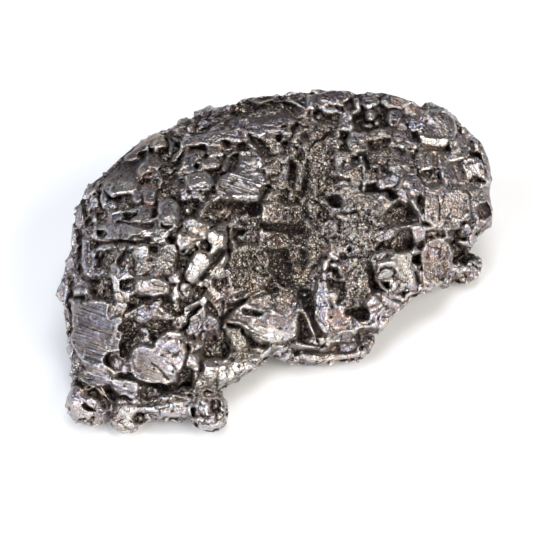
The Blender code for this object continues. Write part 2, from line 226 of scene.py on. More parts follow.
@dataclass(frozen=True)
class Lump(Oval):
    """A rounded lump that stands out of what is there."""

    base: float
    swell: float


@dataclass(frozen=True)
class Line:
    """A groove or ridge along a broken line, added to what is there."""

    points: tuple[tuple[float, float], ...]
    width: float
    level: float


class Tint(Enum):
    """What a patch of the surface is like; some patches are painted shade, painted highlight and
    painted reflection.
    """

    RUST = "rusty"
    GOLD = "golden"
    # painted reflection: a blue tint where the metal would mirror a bluish sky
    BLUE = "painted_blue_reflection"
    # painted shade: dark patches where shadow falls under rims and blocks and in recesses
    DARK = "painted_shade"
    STRIATED = "striated"
    GRANULAR = "granular"
    # a plum tint that is also painted shade
    PLUM_SHADE = "plum"
    BROWN = "browned"
    # polished metal with painted highlight: bright patches where highlights fall
    BRIGHT = "polish_and_sheen"


@dataclass(frozen=True)
class Patch(Oval):
    """A soft-edged oval of one tint."""

    amount: float = 1.0


@dataclass(frozen=True)
class Knob:
    """A knob that the stone rests on: middle, radii across, in depth and in height, and turn."""

    across: float
    down: float
    height: float
    wide: float
    deep: float
    high: float
    turn: float


# the stone's edge and its crown: across, down and height above the floor in steps
OUTLINE = [
    (60, 282, 62), (65, 268, 66), (71, 250, 72), (73, 223, 80), (78, 204, 86), (87, 188, 92),
    (104, 172, 98), (123, 155, 104), (135, 145, 106), (153, 133, 110), (172, 128, 112),
    (189, 119, 114), (204, 110, 116), (230, 106, 118), (250, 98, 122), (280, 94, 124),
    (317, 91, 126), (334, 89, 128), (353, 93, 128), (386, 93, 126), (412, 101, 120),
    (422, 108, 116), (444, 108, 112), (460, 122, 100), (464, 131, 96), (481, 141, 86),
    (488, 156, 76), (493, 180, 64), (488, 191, 58), (493, 208, 54), (492, 224, 46),
    (477, 235, 38), (472, 249, 34), (460, 262, 30), (448, 281, 32), (426, 290, 34),
    (409, 300, 36), (395, 314, 36), (379, 331, 34), (350, 338, 30), (333, 346, 26),
    (320, 350, 24), (293, 346, 22), (275, 350, 20), (262, 365, 16), (240, 377, 14),
    (222, 388, 13), (200, 396, 14), (160, 398, 14), (120, 398, 16), (90, 392, 18),
    (76, 376, 22), (72, 353, 30), (65, 315, 46),
]
CROWN = [
    (120, 300, 112), (90, 250, 110), (140, 240, 140), (180, 290, 116), (200, 240, 134),
    (160, 190, 138), (110, 210, 122), (120, 360, 66), (180, 372, 60), (85, 330, 74),
    (222, 345, 46), (262, 325, 56), (285, 265, 82), (300, 200, 112), (236, 200, 132),
    (250, 150, 134), (330, 130, 136), (310, 240, 94), (300, 310, 62), (350, 250, 99),
    (340, 315, 64), (400, 200, 120), (400, 275, 70), (450, 180, 108), (450, 230, 80),
    (400, 130, 128), (440, 270, 46),
]
# the back wall: across, and steps behind the middle of the grid on the floor
BACK_WALL = [
    (60, -78), (73, -14), (87, 22), (104, 39), (135, 70), (172, 89), (204, 110), (250, 122),
    (317, 128), (386, 125), (444, 116), (460, 109), (481, 94), (493, 62),
]
KNOBS = [
    Knob(89, 402, 20.5, 22, 24, 21, 0),
    Knob(80, 388, 26, 9, 16, 14, 0),
    Knob(209, 411, 18, 20, 21, 20, 0),
    Knob(128, 407, 15, 17, 24, 17, 0),
    Knob(168, 401, 17, 34, 22, 15, 0),
    Knob(310, 343, 15, 53, 26, 15, 4),
    Knob(348, 341, 16, 26, 24, 17, -12),
    Knob(463, 267, 13, 20, 20, 13, -8),
    Knob(440, 269, 18, 18, 22, 14, 0),
]
# feet under the back: x and y in steps
HIDDEN_FEET = [(-150.0, -30.0), (-55.0, 70.0), (80.0, 80.0), (150.0, 30.0)]

BROAD = """
s 122 187 18 6 -6 5 0 2
s 149 196 7 8 0 5 0 1
s 134 214 26 7 4 5 0 2
s 124 231 28 8 2 7 0 2
s 108 249 10 6 -35 4 0 1
s 117 272 4 26 0 5
s 126 275 9 5 0 4
s 97 332 27 33 -6 6
s 104 385 26 12 24 7 0 1
s 150 366 30 16 24 9 0 2
s 168 343 13 12 0 10 0 -3
s 126 388 15 9 20 7 0 2
s 194 361 9 10 0 6 0 2
s 155 143 11 8 0 4 0 1
s 204 139 22 7 -14 5 0 1
s 196 161 13 9 -15 4 0 1
s 155 160 10 7 0 4 0 1
s 199 180 14 8 0 7 0 2
s 169 214 11 16 10 10 0 2
s 159 232 9 9 0 6 0 1
s 192 231 17 14 -20 8 0 -3
s 218 238 8 12 30 8 1 -4
s 199 267 11 16 32 8 1 -4
s 142 255 7 11 10 5 0 -3
s 168 258 9 16 0 6
s 154 286 16 9 2 9
s 197 304 13 5 -32 8 0 -1
s 196 322 12 7 -50 8 0 -2
s 212 322 8 9 0 3
s 266 119 25 7 -2 4 0 1
s 257 132 34 5 -3 5 0 1
s 251 161 14 11 20 7 0 -2
s 241 184 25 16 -3 9 0 2
s 277 170 12 18 6 5 0 1
s 280 211 20 12 2 8 -1 2
s 274 238 14 10 0 4 0 1
s 250 268 23 24 10 4
s 268 316 34 26 8 5 0 1
s 230 369 28 13 -14 8 0 -3
s 335 96 18 7 0 4 0 1
s 402 100 18 8 8 4 0 1
s 347 118 7 11 0 5 0 1
s 359 139 12 11 0 8 0 2
s 380 134 12 6 0 6
s 394 117 7 9 0 5 0 1
s 344 163 9 14 -8 7 0 -1
s 352 196 10 13 -20 6
s 358 172 6 14 14 5 0 1
s 388 182 11 7 -4 6 0 1
s 409 189 15 13 10 11 0 1
s 384 202 14 9 -35 5 0 1
s 437 127 20 18 4 9 0 1
s 461 148 9 10 0 6 0 1
s 473 168 11 11 12 7 1 0
s 426 160 9 9 0 5 0 1
s 405 163 9 13 0 4
s 448 207 24 23 0 7
s 437 262 15 22 6 8
s 393 272 17 20 -24 13 1 -1
s 390 234 15 7 -18 6 0 -2
s 352 280 18 22 0 5
s 322 306 7 28 -3 9 -1 1
s 340 325 13 20 0 6
s 377 308 12 18 35 7
s 329 228 8 9 -40 6 0 1
p 124 201 9 6 -20 6
p 102 216 6 8 0 6
p 129 213 8 3 6 5
p 104 258 9 9 0 8
p 103 287 11 11 0 12
p 124 260 7 7 0 6
p 112 362 8 9 0 9
p 138 326 20 10 -28 11
p 130 347 9 13 20 9
p 174 145 6 7 0 5
p 175 167 8 12 0 8
p 215 171 10 5 -10 6
p 171 190 9 9 0 11
p 187 208 9 9 0 11
p 217 211 17 11 -6 7
p 184 258 5 12 10 8
p 172 305 12 9 10 15
p 194 293 9 8 -40 8
p 216 346 12 12 -40 15
p 186 377 10 9 0 12
p 268 107 36 6 -3 9
p 266 147 12 7 20 8
p 243 145 5 5 0 7
p 292 175 4 15 0 9
p 307 174 3 12 0 6
p 244 207 18 7 0 9
p 284 196 5 7 0 8
p 286 229 20 4 4 7
p 285 276 11 9 0 9
p 306 301 8 13 -10 13
p 298 326 5 12 -12 9
p 254 340 8 8 30 8
p 234 340 12 12 0 5
p 328 114 12 6 0 8
p 371 120 14 8 0 7
p 358 121 5 8 0 8
p 380 145 10 5 0 7
p 344 145 4 6 0 9
p 336 200 7 6 0 8
p 431 175 10 5 0 8
p 455 171 7 10 0 6
p 401 211 16 10 20 10
p 396 244 19 5 -18 11
p 414 198 7 7 0 5
p 460 238 7 9 0 9
p 465 253 9 8 0 10
p 433 234 7 4 0 6
p 417 259 5 3 0 7
p 336 287 9 6 40 9
p 360 311 9 7 20 12
p 372 276 3 12 -24 9
"""
LINES = """
3-6 97 241 28 1 25-3
3-5 79 230-2 25 2 20 9 6 10 0
2.5-5 134 250 1 40
2.5-4 69 275 1 45
3 6 125 315 18-10
3-7 136 296 24 1
3-9 223 250-11 13-12 16-14 13
3-7 227 222 2 23 0 13
3 7 198 209 24-15
4 7 232 321 18 8 25 16
2.5 4 243 308 20 6
3 9 300 306 8 18 8 18
3.5 6 297 345 25 4 11-5
4 6 352 331 28-5 22-15
2.5-6 366 189 29 1
3 7 412 200 12 20
3-5 421 246 1 39
5-10 150 385 20 5 20-6
3-5 112 404 38 0 38-8
3 6 284 97 20 10
2.5 4 262 203 0 15
3-5 280 288-30 10-22 8
"""
FINE = """
# Upper left shoulder
-2 0 .5 97 183 13-11 12-11 16-1 2 12-3 8-19 0-14 4
3 .2 .2 86 196 2-10 8-7 8-4-5 8-4 9
6-.05 .12 106 186 6-5 9-2 14 1 6 4-2 5-8 3-13 2-6 3-5-5
6 .5-.2 104 185 5-3 5 2-1 8-4 4-4-5
4 0-1.1 114 193 5-2.5 12 0 4-1-4 4.5-14 1.5
-6 0 .3 114 197 5-2 12-1 2 2-5 4-6 5-7 5-2-6
3-.5-.4 107 201 5-1 5 6-3 4-7-5
5 .1-.4 99 194 4-4 4 4 1 5-2 5-5 2-3-6
3 .2-.4 89 198 6-4 3 5-1 6-5 2-3-4
1 .2 0 87 188 5-4 0 8-4 6-4 0
-5 0 .2 95 212 8-2 5 2 0 6-5 4-6 3-1-8
-4 0 0 84 213 6 1 2 11-8 0
2 .3 .1 74 210 6-6 2 8-1 12-7 0
5 0-.05 133 192 5-2 4 3-1 7-4 3-5-2-2-4
6 0-.05 146 190 6-3 5 2 0 7-1 6-6 2-4-5
6 0 .05 120 212 8-5 9-2 9-1 6 2 1 6-3 4-8 0-5-3-9-3
-3.6 0-.4 122 218 5-5 9-1 1 4-8 3
4-.1-.1 108 223 2-9 8-3 4 2-3 6-7 5
-5 0 0 153 206 5-1 0 9-4 3-4 0
4 .1 0 123 156 7-6 10-8 7-2 0 10-9 2 1 6-9 2-5 0
-5 0 0 139 152 7-1-1 7-5 1
l 156 144 12 9 0 -2 9
6 .1-.25 137 168 4-7 7-2 4 4-1 7-7 6-3 2-3-5
-1 0-.8 140 178 6-6 3 3-5 5
3 0 .1 151 157 7-3 4 5-2 6-7 1-3-4
3 .2-.4 152 170 6-2 3 5-3 6-5-4
-5 0 .2 139 179 13-1 8 3-1 5-13 1-7 3
-4 0 0 160 168 8-2 1 10-8 3
# Left middle
4 0-.2 97 237 10 1 11 0-6 3-14 0
6 0 .08 92 224 8-1 12-1 8 0-2 14-12 1-10-1
7 .15-.1 119 222 7 0 8 2-2 8-6 4-7 0
-4 0 0 98 230 6-1 2 4-4 4-3-2
4 .3-.5 90 233 4-3 4 3-1 6-5-1
6 .1-.55 141 231 7-4 6-1 0 7-8 2-7 0
0 0-.3 127 236 11-1 14 0-1 5-15 0-9-2
-6 0 0 115 239 7-1 8 3 11-1 10 1-1 3-11 0-11 0-9-3
5 0 .1 98 243 9-1 8 0-3 3-8 3-7 2-5-2
3 .1-1.1 97 257 0-5 4-3 7-3 7-3 0 3-7 3.5-6 2.5-2 4
-7 0 0 101 253 7-3 6-3 1 7-5 8 3 6-9 1-8-4 3-7
-4 0 0 92 241 5-1 1 5-4 2
4 .3-.4 89 250 4-2 3 4-2 5-4-1
2 0 0 90 257 8 0-1 7-5 4-2-4
3 0-.4 117 244 7-2 1 6-6 3-3-3
3 .1-.4 126 243 7 0 1 7-7 1
-2 0-.2 119 256 7-4 5 4 1 7-5 5-7-1-3-5
l 127 259 3.5 2.5 20 -2 5
3 .2-.1 110 262 5-2 3 10-5 3-3-5
3 0-.4 96 273 5-2 9 1 2 4-8-1-6 1
-5 0 0 98 276 6-.5 4 1.5-2 4-7-1
2 0 0 80 237 8 0 2 13-1 25-7-3-2-16
-9 0-.1 91 283 12-2 8 2 2 7-1 7-6 2-11-2-4-7
4-.2-.3 114 280 6-2 2 10-3 12-5-1
4 0-.15 115 271 7-2 10 1 4 6-6 4-12-1
-6 0 0 121 281 8-2 6 1-1 8-7 2-5-4
5 .1-.55 136 251 6-4 7-3 0 10-8 5-4 3-3-4
6 0 0 140 279 12-2 0 11-11 1
4 0-.8 140 290 12-1 1 4-12 1
-5 0 0 130 295 22 0 0 8-15 1-8-3
4 0-.2 73 288 7-2 9 1 1 7-10 2-7-1
-3 0 0 80 282 7 0 0 4-7 0
1 .2 0 62 284 5-4 0 20-4 0
# Middle of the left lobe
l 168 211 10 14 10 2 9
10 .25-.1 158 201 7-3 5 2 2 8-3 6-5 5-4-1-2-8
9 0-.6 163 218 7-4 3 3 0 5-4 2-5-2
3 0-.2 162 222 4 3 6 0 0 3-5 0-5-3
4 0 0 174 229 5-3 3-5 2 4-6 6-3 4-3 0
7 0-.15 155 225 5-2 3 6 4 3 0 6-4 3-7-1-3-6
6 .1-.6 143 232 7-3 5-3-2 7-1 2-6 0
-4 0 0 168 238 6-1 2 6-6 1
-5 0 0 159 190 11 0 6 5-6 3-10-1
-9 0 0 176 197 10-1 10 3 7 4-4 3-6 2-1 9-8 1-3-6-3-7
l 187.5 208 5 5 0 -9 7
1 0-.4 180 193 6-2 11 3 1 3-10 1-7 1
1 0 0 196 191 7-1 0 6-6 2
-6 0 0 200 210 5-6 7-3 8-1 9 1 3 7-1 10-5 4-11 1-10-2-4-4
l 214 214 9 6 0 -7 5
l 227 210 6 6 0 -7 5
5 0-.5 199 209 7-6 10-7 8-4 4 2-7 4-9 3-9 7-3 10-4-1
5 0-.9 214 195 7-2 1 4-6 2
7 0 0 180 236 3-7 1-7 4-1 1 9 0 10-3 6-6 2-4-5 0-5
8 0-.6 184 219 8-1 6-1 1 6-2 3-7-1-4-3
5 0-.1 190 225 9 1 8-1 2 6-1 6-4 1-4-2-6-3-4-3
3 0-.6 191 231 5-1 4 3-1 3-6-2
3 .2-.3 196 240 5-2 5 1-3 3-5 4-1 2-3-2
-5 0 0 200 243 8-5 3 7-1 6-7-1-4-2
l 204.5 246 3.2 3 0 -5 5
10 .1-.5 208 229 6-3 5 3 6 0 3 8 0 10-7 3-7 6-5 5-2-7 4-7-3-6-2-6
5 0-.1 217 228 5-5 6 1 0 7-6 0-4 0
5 0-.6 189 240 8-2-1 5-8 8-4 2-3-2 5-3
-4 0 0 189 251 7-7 3 4-3 5-6 4
10 .1-.5 197 251 6-1 7 2 0 5-4 8-4 8-4 7-5 2-6-2-2-4 4-8 1-7 4-6
-5 0-.2 178 252 8 0 4 4-3 8-4 4-5 0
5 0-.5 186 270 4-9 3 1-3 8-4 7
8 .1-.5 222 253 6-2 0 9-6 8-7 7-5 0 3-7 5-8
4 0 0 221 250 5 0-7 10-6 9-6 7-7 8-4-1 7-9 6-10 6-8
3 0 0 215 270 7-5 4-3 1 12-6 4-7-1
-3 0 0 200 277 7-6 3 1-2 5-5 3
5 0 0 161 244 6 1 7 0 3 5 0 14-5 7-7-1-5-7 0-11
-5 0 0 150 244 8-1 1 10-9 1
5 .1-.6 151 255 9-1 0 8-4 2
2 .3 .2 150 256 5 7 8 9-6-2-7-8
3 0-.6 157 264 3-1 5 8-3 1
2 0-.3 140 262 9-4 3 8 4 7-6 1-9-2
9 0 0 140 279 11-2 7 2 10 3 1 7-6 2-12-1-10 1
6 0-.9 141 291 10-1.5 12 0 3 2.5-14 1-11 1.5
3 0-.1 170 276 6-5 4-1 1 11-5 2-7-2
3 0-.1 171 285 9-1 0 10-5 6-5-2 3-6
5 0-.2 183 286 7-2 3 1-2 7-2 7-5-2-2-7
5 0-.6 181 285 3-2 6 0 0 3-7 1
# Lower middle of the left lobe
-13 0 0 160 296 8-1 4 6 11-2-1 5 2 8-6 3-7-1-7-4-5-7
2 .3-.7 157 304 4 2 4 4-1 3-6-5
2 .2-.8 165 311 4 1 3 3-2 2-5-2
-7 0 0 160 295 12 5 14 0 10-3 4-8 4-4 4 2-3 6-6 6-7 4-7 2-7-3
-3 0-.4 195 295 4-3 3 4-3 3-3-1
6 0-.6 183 309 2-5 5 2 8-5 6-7 3-1-1 7-6 7-8 4-6 3-3-1
-7 0 0 186 315 6-4 9-5 2 2-7 5-7 5
7 .05-.45 188 329 1-8 6-6 6-6 4-4 3 4-1 9-7 8-7 8-4-1
6.5 .1-.8 188 328 1-7 6-6 6-5-1 6-6 6-3 8
3 0-.3 175 317 5-2 4 1-1 7 0 5-5-1-5-2
-6 0 0 185 317 5-1-2 13-3 1-1-8
-2 0 0 208 285 8 0 6 5 2 6-6 4-7-3-3-6
-6 0 0 214 279 10-1 0 12-5-1-5-5
-6 0 0 208 300 5 2 3 7 6 7-4 2-8-5-3-6
3 0-.2 209 318 4-3 3 3-1 7-4 3-4-2
2 0-.8 210 330 5-4 2 3-3 4
-9 0 0 150 321 10-4 10 1 2 9-7 5-11 2-7-4
l 144 331 4.5 4 0 -6 5
1 0-.1 140 312 10-4 13 5 4 4-9 2-10 3-8 1
3 0-.6 140 303 6 2-3 4-4 0
# Smooth rubbed flank
7 0 0 70 296 10 3 12 3 14 1 3 9 5 7 8 3-3 9 2 7-5 8-9 6-3 10 2 6 9 9-3 3-12 0-10-8-10-10-7-17-3-25
7.5 0 .12 80 300 24 3 4 11 4 9-12-1-16-5-5-5
6 0 .1 78 317 22 5 14 9-6 0-18-5-13 0
7 0-.12 73 327 17 1 13 5 9 7-8 7-12-7-16-4
6.5 0 0 76 338 16 4 12 6 3 4-3 8-12-6-12-4
6 0 .1 84 352 12 4 9 6-1 4-14-4-6-4
-1 0 0 64 310 5 2 1 8-3 0-2-5
-4 0 0 68 326 4 1-1 9-3-2
4 0-.1 110 303 6-2 9 3-1 6-2 5-10 3-4-6
4 0-.5 116 301 9 1 1 5-5 3-5-2
-6 0 0 125 301 13-2 2 5-13 5
2 0 0 133 311 9-4 13-1 8 6-5 6-10 3-8 4-6-5
-5 0 0 124 321 6-3 5 3-1 8-6 1
5 .1-.6 116 331 5-1 7 2-2 5-5 2-4-2
-10 0 0 126 330 12-2 4 6-2 6-8 5-8-4-2-3
-10 0 0 121 340 9 3-2 9-7 1-3-6
5 0-.2 113 341 8-4 0 6-4 7-7 0
2 0 0 109 352 11-1 0 5-7 1-5 2
-3 0 0 107 359 7-3 7 2 4 8-4 5-8 0-6-5
4-.1-.7 105 362 3 4 7 4 5 1 0 4-8-1-6-5-3-5
1 0-.4 121 360 7-3 1 5-6 1
1 0 0 121 365 8-1 2 6-4 3-6-2
-5 0 0 119 373 13 0 1 5-14 0
2 0-.2 138 337 7-2 7 5 0 4-9 1-3-4
# Big knob low on the left lobe
10 0 .04 130 352 3-6 7 0 10 3 10-2 6-10 8-6 10 2 6 8-1 11-5 12-4 9-3 11-12 0-15-4-12-4-8-8-3-8
10 .1-.25 128 353 4-7 6-2 14 3 6-1 0 3-8 2-12-1-7 6
8 0 0 156 340 10-3 1 8-7 5-6-1
11 0-.45 166 332 11-2 8 2-1 5-8 1-10-2
10 0-.5 168 340 9-2 0 7-7 7-9 4-1-5
8 0-.6 165 359 10-2-1 5-8 1
8 0-.1 130 366 8 2 17 4 13 4 8 2-1 6-15-1-17-4-10-5
# Low left feet
7 0 0 80 366 10 6 10 8 12 1-2 7-10-2-4 0-10-6-6-7
-5 0 0 76 376 6 4 10 7-4 4-8-5-4-2
-2 0 0 77 366 4 0 1 8-5 3
3 .2-.5 76 386 4 0 2 6-5-1
l 88 387 4 4 0 -5 8
-8 0 0 88 391 8-3 8 7 4 7-2 6-7-2-3-8-7-2
-1 0 0 101 386 11 2 8 6-5 6-7-2-7-6-5-4
2-.1-.2 96 386 4-1 6 5 6 8-4 1-8-7
-4 0 0 106 390 6-1 2 7-4 1-4-4
-5 0 0 114 394 10 2 6 4-8 0-8 0
8 0-.03 109 381 9-2 14 1 8 5-1 7-5 5-10-1-11-6-7-4
6-.3-.7 133 380 5 0 4 6-2 3-4-3
6 0 .15 124 384 8-2 4 5-2 3-6-1
5 0 0 68 394 4-9 5 1 1 6 8 4 8 0 4 6 1 6-3 6-8 6-10 0-8-8-3-10
-5 0-.2 81 405 3-2 6 3 6 4-6 0-6-2
6-.2-.2 91 396 6 2 3 8-3 4-4-6-5-4
-1 0 0 97 412 4-2 11 1 0 5-5 4-5 4-10 0 0-3 6-3
6 0 0 113 402 4-3 13 2 10-2 12 5 0 8-12 0-7 6-5 4-7-4-7-6
-6 0 0 131 419 5-6 6-1 4 2-6 6-6 2
2 0-.5 118 398 6-.5 6 3-10 0
-3 0 0 140 390 12-2 2 8-6 6-8-6
3 0-.6 137 395 5 1 6 6-6-1-6-3
# Between the big knob and the black hole
-10 0 0 148 329 18 0-6 7-6 7-4-3
8-.1 .1 176 336 11 1 1 13-4 2-8-4
7 0 0 172 352 10-2 5 3-2 13-7 6-6-8
8 .5-.3 181 355 4-1 0 7-3 1
3 0 0 188 339 12-1 8 4-2 8-6 3-10 0
4-.1-.3 197 342 11 0-1 6-7 2
4 0-.5 192 345 8 2 0 5-7-1
p 190 346 2 3 0 4
7 0 0 188 353 14 0 1 13-4 3-9-1-3-6
6 0-.6 189 364 13 1-1 4-10 0
-10 0 0 184 366 8 3 2 9-4 10-6-4-6-3 0-7
-4 0 0 177 372 7 2 0 6-6 0
-1 0-.2 193 371 7 0 1 9-5 4-3-4
-12 0 0 205 344 6-7 11-5 4 8 6 8-2 8-8 2-8-4-8 4-3-4
-9 0 0 220 344 8 0 1 8-7 1
# Gap under the knob
-11 0 0 146 382 10 1 12 3 0 5-10 2-4-5
-10 0 0 168 384 12-1 8 1-4 4-16 0
1 0-.5 181 386 9-1 2 4-6 2-6-1
2 0-.6 184 390 6 0 0 4-5 0
-1 0-.1 174 388 8 1 1 5-7-1
# Smooth lug between the front feet
6 0 0 150 400 10-5 8-3 12 4 10 4 4 2 0 14-10 2-20-2-14 0-4-8
7 0-.9 168 391 10 2 6 3 7 2 4-5 2 1-4 7-9-2-8-3-8-3
5 .1 .5 154 399 8-5 6-4 1 2-5 4-8 6
# White bowl facets
5 0-.5 193 382 7-3 6 3 1 10-7 3-6-1
4 .6 .1 192 380 3-1 0 14-2 0
5 .4-.2 200 370 4 1 2 9-5-2
8 0-.5 202 359 10-1 24 0 4 8-2 10-12 8-12 6-8 0-2-10-2-10
8 0-.6 204 372 8-2 6 2-1 8-5 8-6 0
7 0-.6 219 370 9 0 8 6-8 4-12 8 0-4
6 .7 0 201 358 4 0 0 12-3 1
8 0 .1 206 358 14-1 16 2 0 4-16 2-14-2
# Foot below the bowl
-4 0 0 204 390 10 2 8-4 0 10-10 2-8-3
-3-.4-.5 222 386 6-2-2 8-3 6
4 0 0 194 396 7 1 0 11-7 0
l 196.8 405 2.2 3 0 3 3
5 .2-.6 201 398 5 1 0 6-4 1
5-.3-.6 200 406 5-1 5 7 0 5-7-3-3-4
l 208 405.5 2.8 4 0 3 3
-8 0 0 192.5 408 3.5 0 0 9-4 0
-6 0 0 211 400 9-1 3 5-1 7-8 1-4-5
l 217 405 2.4 3 20 -6 5
3-.5 .1 220 397 6 2 2 6-2 6-4 0-1-7
l 212.8 414.8 3.8 4.4 0 2 4
l 220.5 415 3 3.4 0 2 4
6 0-.1 192 418 8-3 8 4 10 1 8-6 4 4-4 8-14 5-12-1-6-6
# Upper left lobe, top part
6 0 0 144 136 12-5 10 3 0 10-6 7-10-1-6-4
l 157 143 5 5 0 4 5
l 163.5 145 3 3.6 0 2 6
-5 0 0 148 147 5 1 1 5-5 0
-6 0 0 158 148 8-1 0 6-5 2-3-3
-9 0 0 165.5 136 3 0 0 16-2.5 0
-3-.3 .4 168 137 6 0 2 9-2 5-6 0
3 0-.6 173 136 9 0-1 3.5-7 0
-7 .2 0 175 140 5.5-1 0 8-4.5 8-3-3 2-6
5 .3-.4 181 139 3 3-1 8-5 7-6 5-8 6-2-2 8-6 5-6 5-6
-6 0 0 158 152 10 2 4 2-6 8-6-2
4 0 .1 148 154 10 1 6 8-4 3-8-2
# Smooth dark band and the sponge below it
5 0 .05 181 135 15-1 12-2 14-2 18-1 2 7-18 2-2 8-14 0-12 1-6 0-6-4
3 0 .1 206 146 16 0 0 6-4 4-10 1-2-7
5 0-.9 222 136.5 10 0 9-.5 1 4-8 1.5-10-2
-7 0 0 222 140 8 0 0 5-4 0
0 .2-.3 183 148 6-2 1 5-6 2
-6 0 0 189 147 15-2 2 3-12 2-4 0
3 0 0 187 151 9-1 11 0 1 8-8 14-10 2-10 0 3-12
6 .6-.1 185 153 3-2-3 12-4 11-3 0 4-12
5-.1-.2 194 152 10-2-1 7-6 1
p 206 155 2 2.6 20 7
p 197 164 3 2.6 -20 8
5 .4-.2 191 160 3-1 0 12-2 1
5 .5-.3 199 166 4-6 2-2 0 3-3 9-3 2
4 0 0 204 158 10-2 6 2-1 6-5 5-7 2-5-1
4 0-.6 219 151 6-1-1 5-5 1
2-.2 .1 225 151 7 2-2 7-4 9-5 1-1-8
-8 0 0 229 156 10-3 1 7-4 7-8 1 0-6
-10 0 0 205 170 8-2 7 2 8-1-6 5-6 2-6-3
7 0 .05 188 176 8-4 10-1 6 3 2 8-4 4-10 2-10 1-4-3
7 0-1 190 185 6-4 8-1 6 .5-1 4-9 1-6 3.5-5 0
5 .7 0 186 178 5-2-2 8-2 5-2.5-1 .5-6
-9 0 0 163 156 9 4 8 0-2 12-2 8-12 2-2-8 4-8
-6 0 0 165 180 11 1 9-1-1 10-8 0-6-4
-3 0-.1 170 182 10 0 1 7-7 0
3 0-.1 151 167 7 0 3 6-1 6-5-2
4 0-.6 156 171 4 0 0 7-3 0
# Dark recess and layered plates under the top rim
-11 0 0 232 103 14-1 16 0 12-1 10-2 8 1 8 7-4 5-12 1-16-5-16 4-12 4-10 0
4 0-.6 256 99 14-2 12 1 8-2 7 5 8 5 0 3-7-2-6-6-8-2-12 2-14 2
-5 0 0 234 104 12-1 1 6-7 3-6-2
-6 0 .2 281 100 10 2 5 6-6 4-9-2
1 0 .1 248 113 14-5 10-2 8 4 10 4-10 3-18 1-12 3
4 0 .1 240 120 12-3 16 0 16 1 2 4-14 4-16 2-14-1
5 0 0 246 128 16 0 22-1 0 4-14 3-14-1-8-2
5 0-.3 284 117 10-1 6 4-4 4-10-1
6 0-.9 285 122 9-.5 0 4-7 0
-7 0 0 292 128 4-7 4 1-3 8-2 6-3 0
5 .2 0 296 128 6-2 2 6-4 8-6 0-2-3
5 0-.8 290 138 7 0 2 4-3 3-6-3
-6 0 0 302 133 7 0 0 4-6 1
4 0-.4 298 143 6-2 0 7-5 0
-8 0 0 314 109 8-2 4 6-1 7-8 0-3-4
l 320 114 2.8 3.6 20 -7 4
# Diagonal ribs in the middle top
3 .2-.1 240 129 6 1 10 12 9 10-5 2-10-9-8-7
5 0-.7 245 140 7 2 5 5-4 1-7-4
-7 0 0 239 141 8 3 1 6-8 0
-6 0 0 248 132 8 4 6 6 6 10-6 2-6-8-6-7
2 0 0 259 134 11-2 12-1 2 7-4 10-8 2-6-4
3 0-.4 251 133 7 1-1 4-5-1
4 .3-.4 268 134 4-1 2 6-4 3
l 277 147.5 3 2.4 0 0 4
-5 0 0 277 135 6-1-3 6-3-1
-8 0 0 283 139 7 0 0 10-6 1
-8 0 0 264 148 6 2 2 4-8 0
1 0-.2 270 149 12-1 2 4-8 2-6-1
# Peak facet and the great plate
7 0-.1 240 153 10-3 6 4 8 9 2 8-14 0-12-1-3-7
6-.1 .4 240 153 10-3 4 4-8 5-8 4
5 .5-.3 236 162 5-3 2 9-3 3-4-3
7-.2-.8 255 158 5 0 6 8 1 6-5-1-5-6
8 0-.4 251 155 5 2 2 7-5-2
6 0 0 220 173 18-5 8 3 16 1 2 8-2 16-12 1-20-4-12-5
6 0-.8 228 192 12 1 10 2 10-2-1 8-13 1-14-4
6 .1 .15 251 173 11 0 2 11-2 8-5-8
4 0-.7 210 193 10-3 6 3-6 7-10 0
p 232.5 178 1.6 3 20 2.5
4 0 0 262 154 14 2 14-3 2 7-4 12-4 18-8-2-10 0-2-16
5 0 0 280 163 8-1 0 14-2 12-6 2-2-14
4 .1-.5 264 157 4 1 4 5-4 1
3 0 0 269 181 8 1 1 7-7 0-3-3
4 0-.5 280 181 5 2 0 6-4-1
-6 0 0 262 187 6-3 4 3-5 8-5 1
3 0-.15 268 189 10 1 1 9-7 2-8-1 0-5
-9 0 0 288 160 6-1 2 13-3 16-5-2
-1 0 0 296 158 10 2-2 20-3 20-7 0 0-16
-8 0 0 306 163 4 0-1 13-3 0
-7 0 0 303 177 5 0-1 13-4 10-3-4
3 0-.1 309 177 9-1 0 8-6 3-4-3
l 315.5 186 2.6 3 0 -1 4
-10 0 0 280 190 10-2 10 3 0 14-12 1-10-6
-3 .3-.3 289 189 5 1-6 12-3 1
p 298 196 1.4 3 -30 -5
-11 0 0 219 199 13 0 14 3 16-1-2 7-6 8-8-3-12-5-12-4
# Block above the long shadow
6 0 0 263 201 15 0 10 6 2 7-3 8-17 1-10-3
6 .25 0 262 201 10 0-1 19-9 0
5 .8-.3 261 203 4-1-1 10 1 8-5 0
7-.1 0 272 203 6-1 9 6 1 12-14 1
1-.4 0 289 208 11-2 2 15-12 3
-11 0 0 259 222 13 1 14-1 14 2-2 7-14 1-12-2-9-1
3 0-.1 261 231 11-2 12 2 6 7 0 10-14 2-14-2
4 .7-.2 260 226 3.5 0 .5 10 1 12-4 0-2-14
l 270 243 6 4 0 3 4
2 .3-.3 285 231 4 0 1 11-4 0
-8 0 0 228 226 12 1 6 3-6 8-6 2-6-6
l 246 217 3 5 30 -2 6
l 250 227 4 4 0 -2 6
l 233 223 4 4 0 -3 6
l 240 236 3 3 0 -4 5
0 0-.3 230 235 6 5 0 7-6-1
0 0-.3 251 216 9-1 1 5-7 2
# Rough grey facet and the dark hollow beside it
2 .02 0 228 256 10-6 24 1 6 7-3 12 7 9-10 7-12 6-12 5-9-1-2-16
3 0-.05 242 262 10-5 12 1 0 10-12 2-8-2
3 0-.7 233 277 10-1 1 3.5-9 .5
3 0-.5 240 285 8-1 1 4-8 2
3 0-.9 233 291 10-3 1 2-8 4
0 0-.3 229 299 15-1 3 3-7 5-9 1
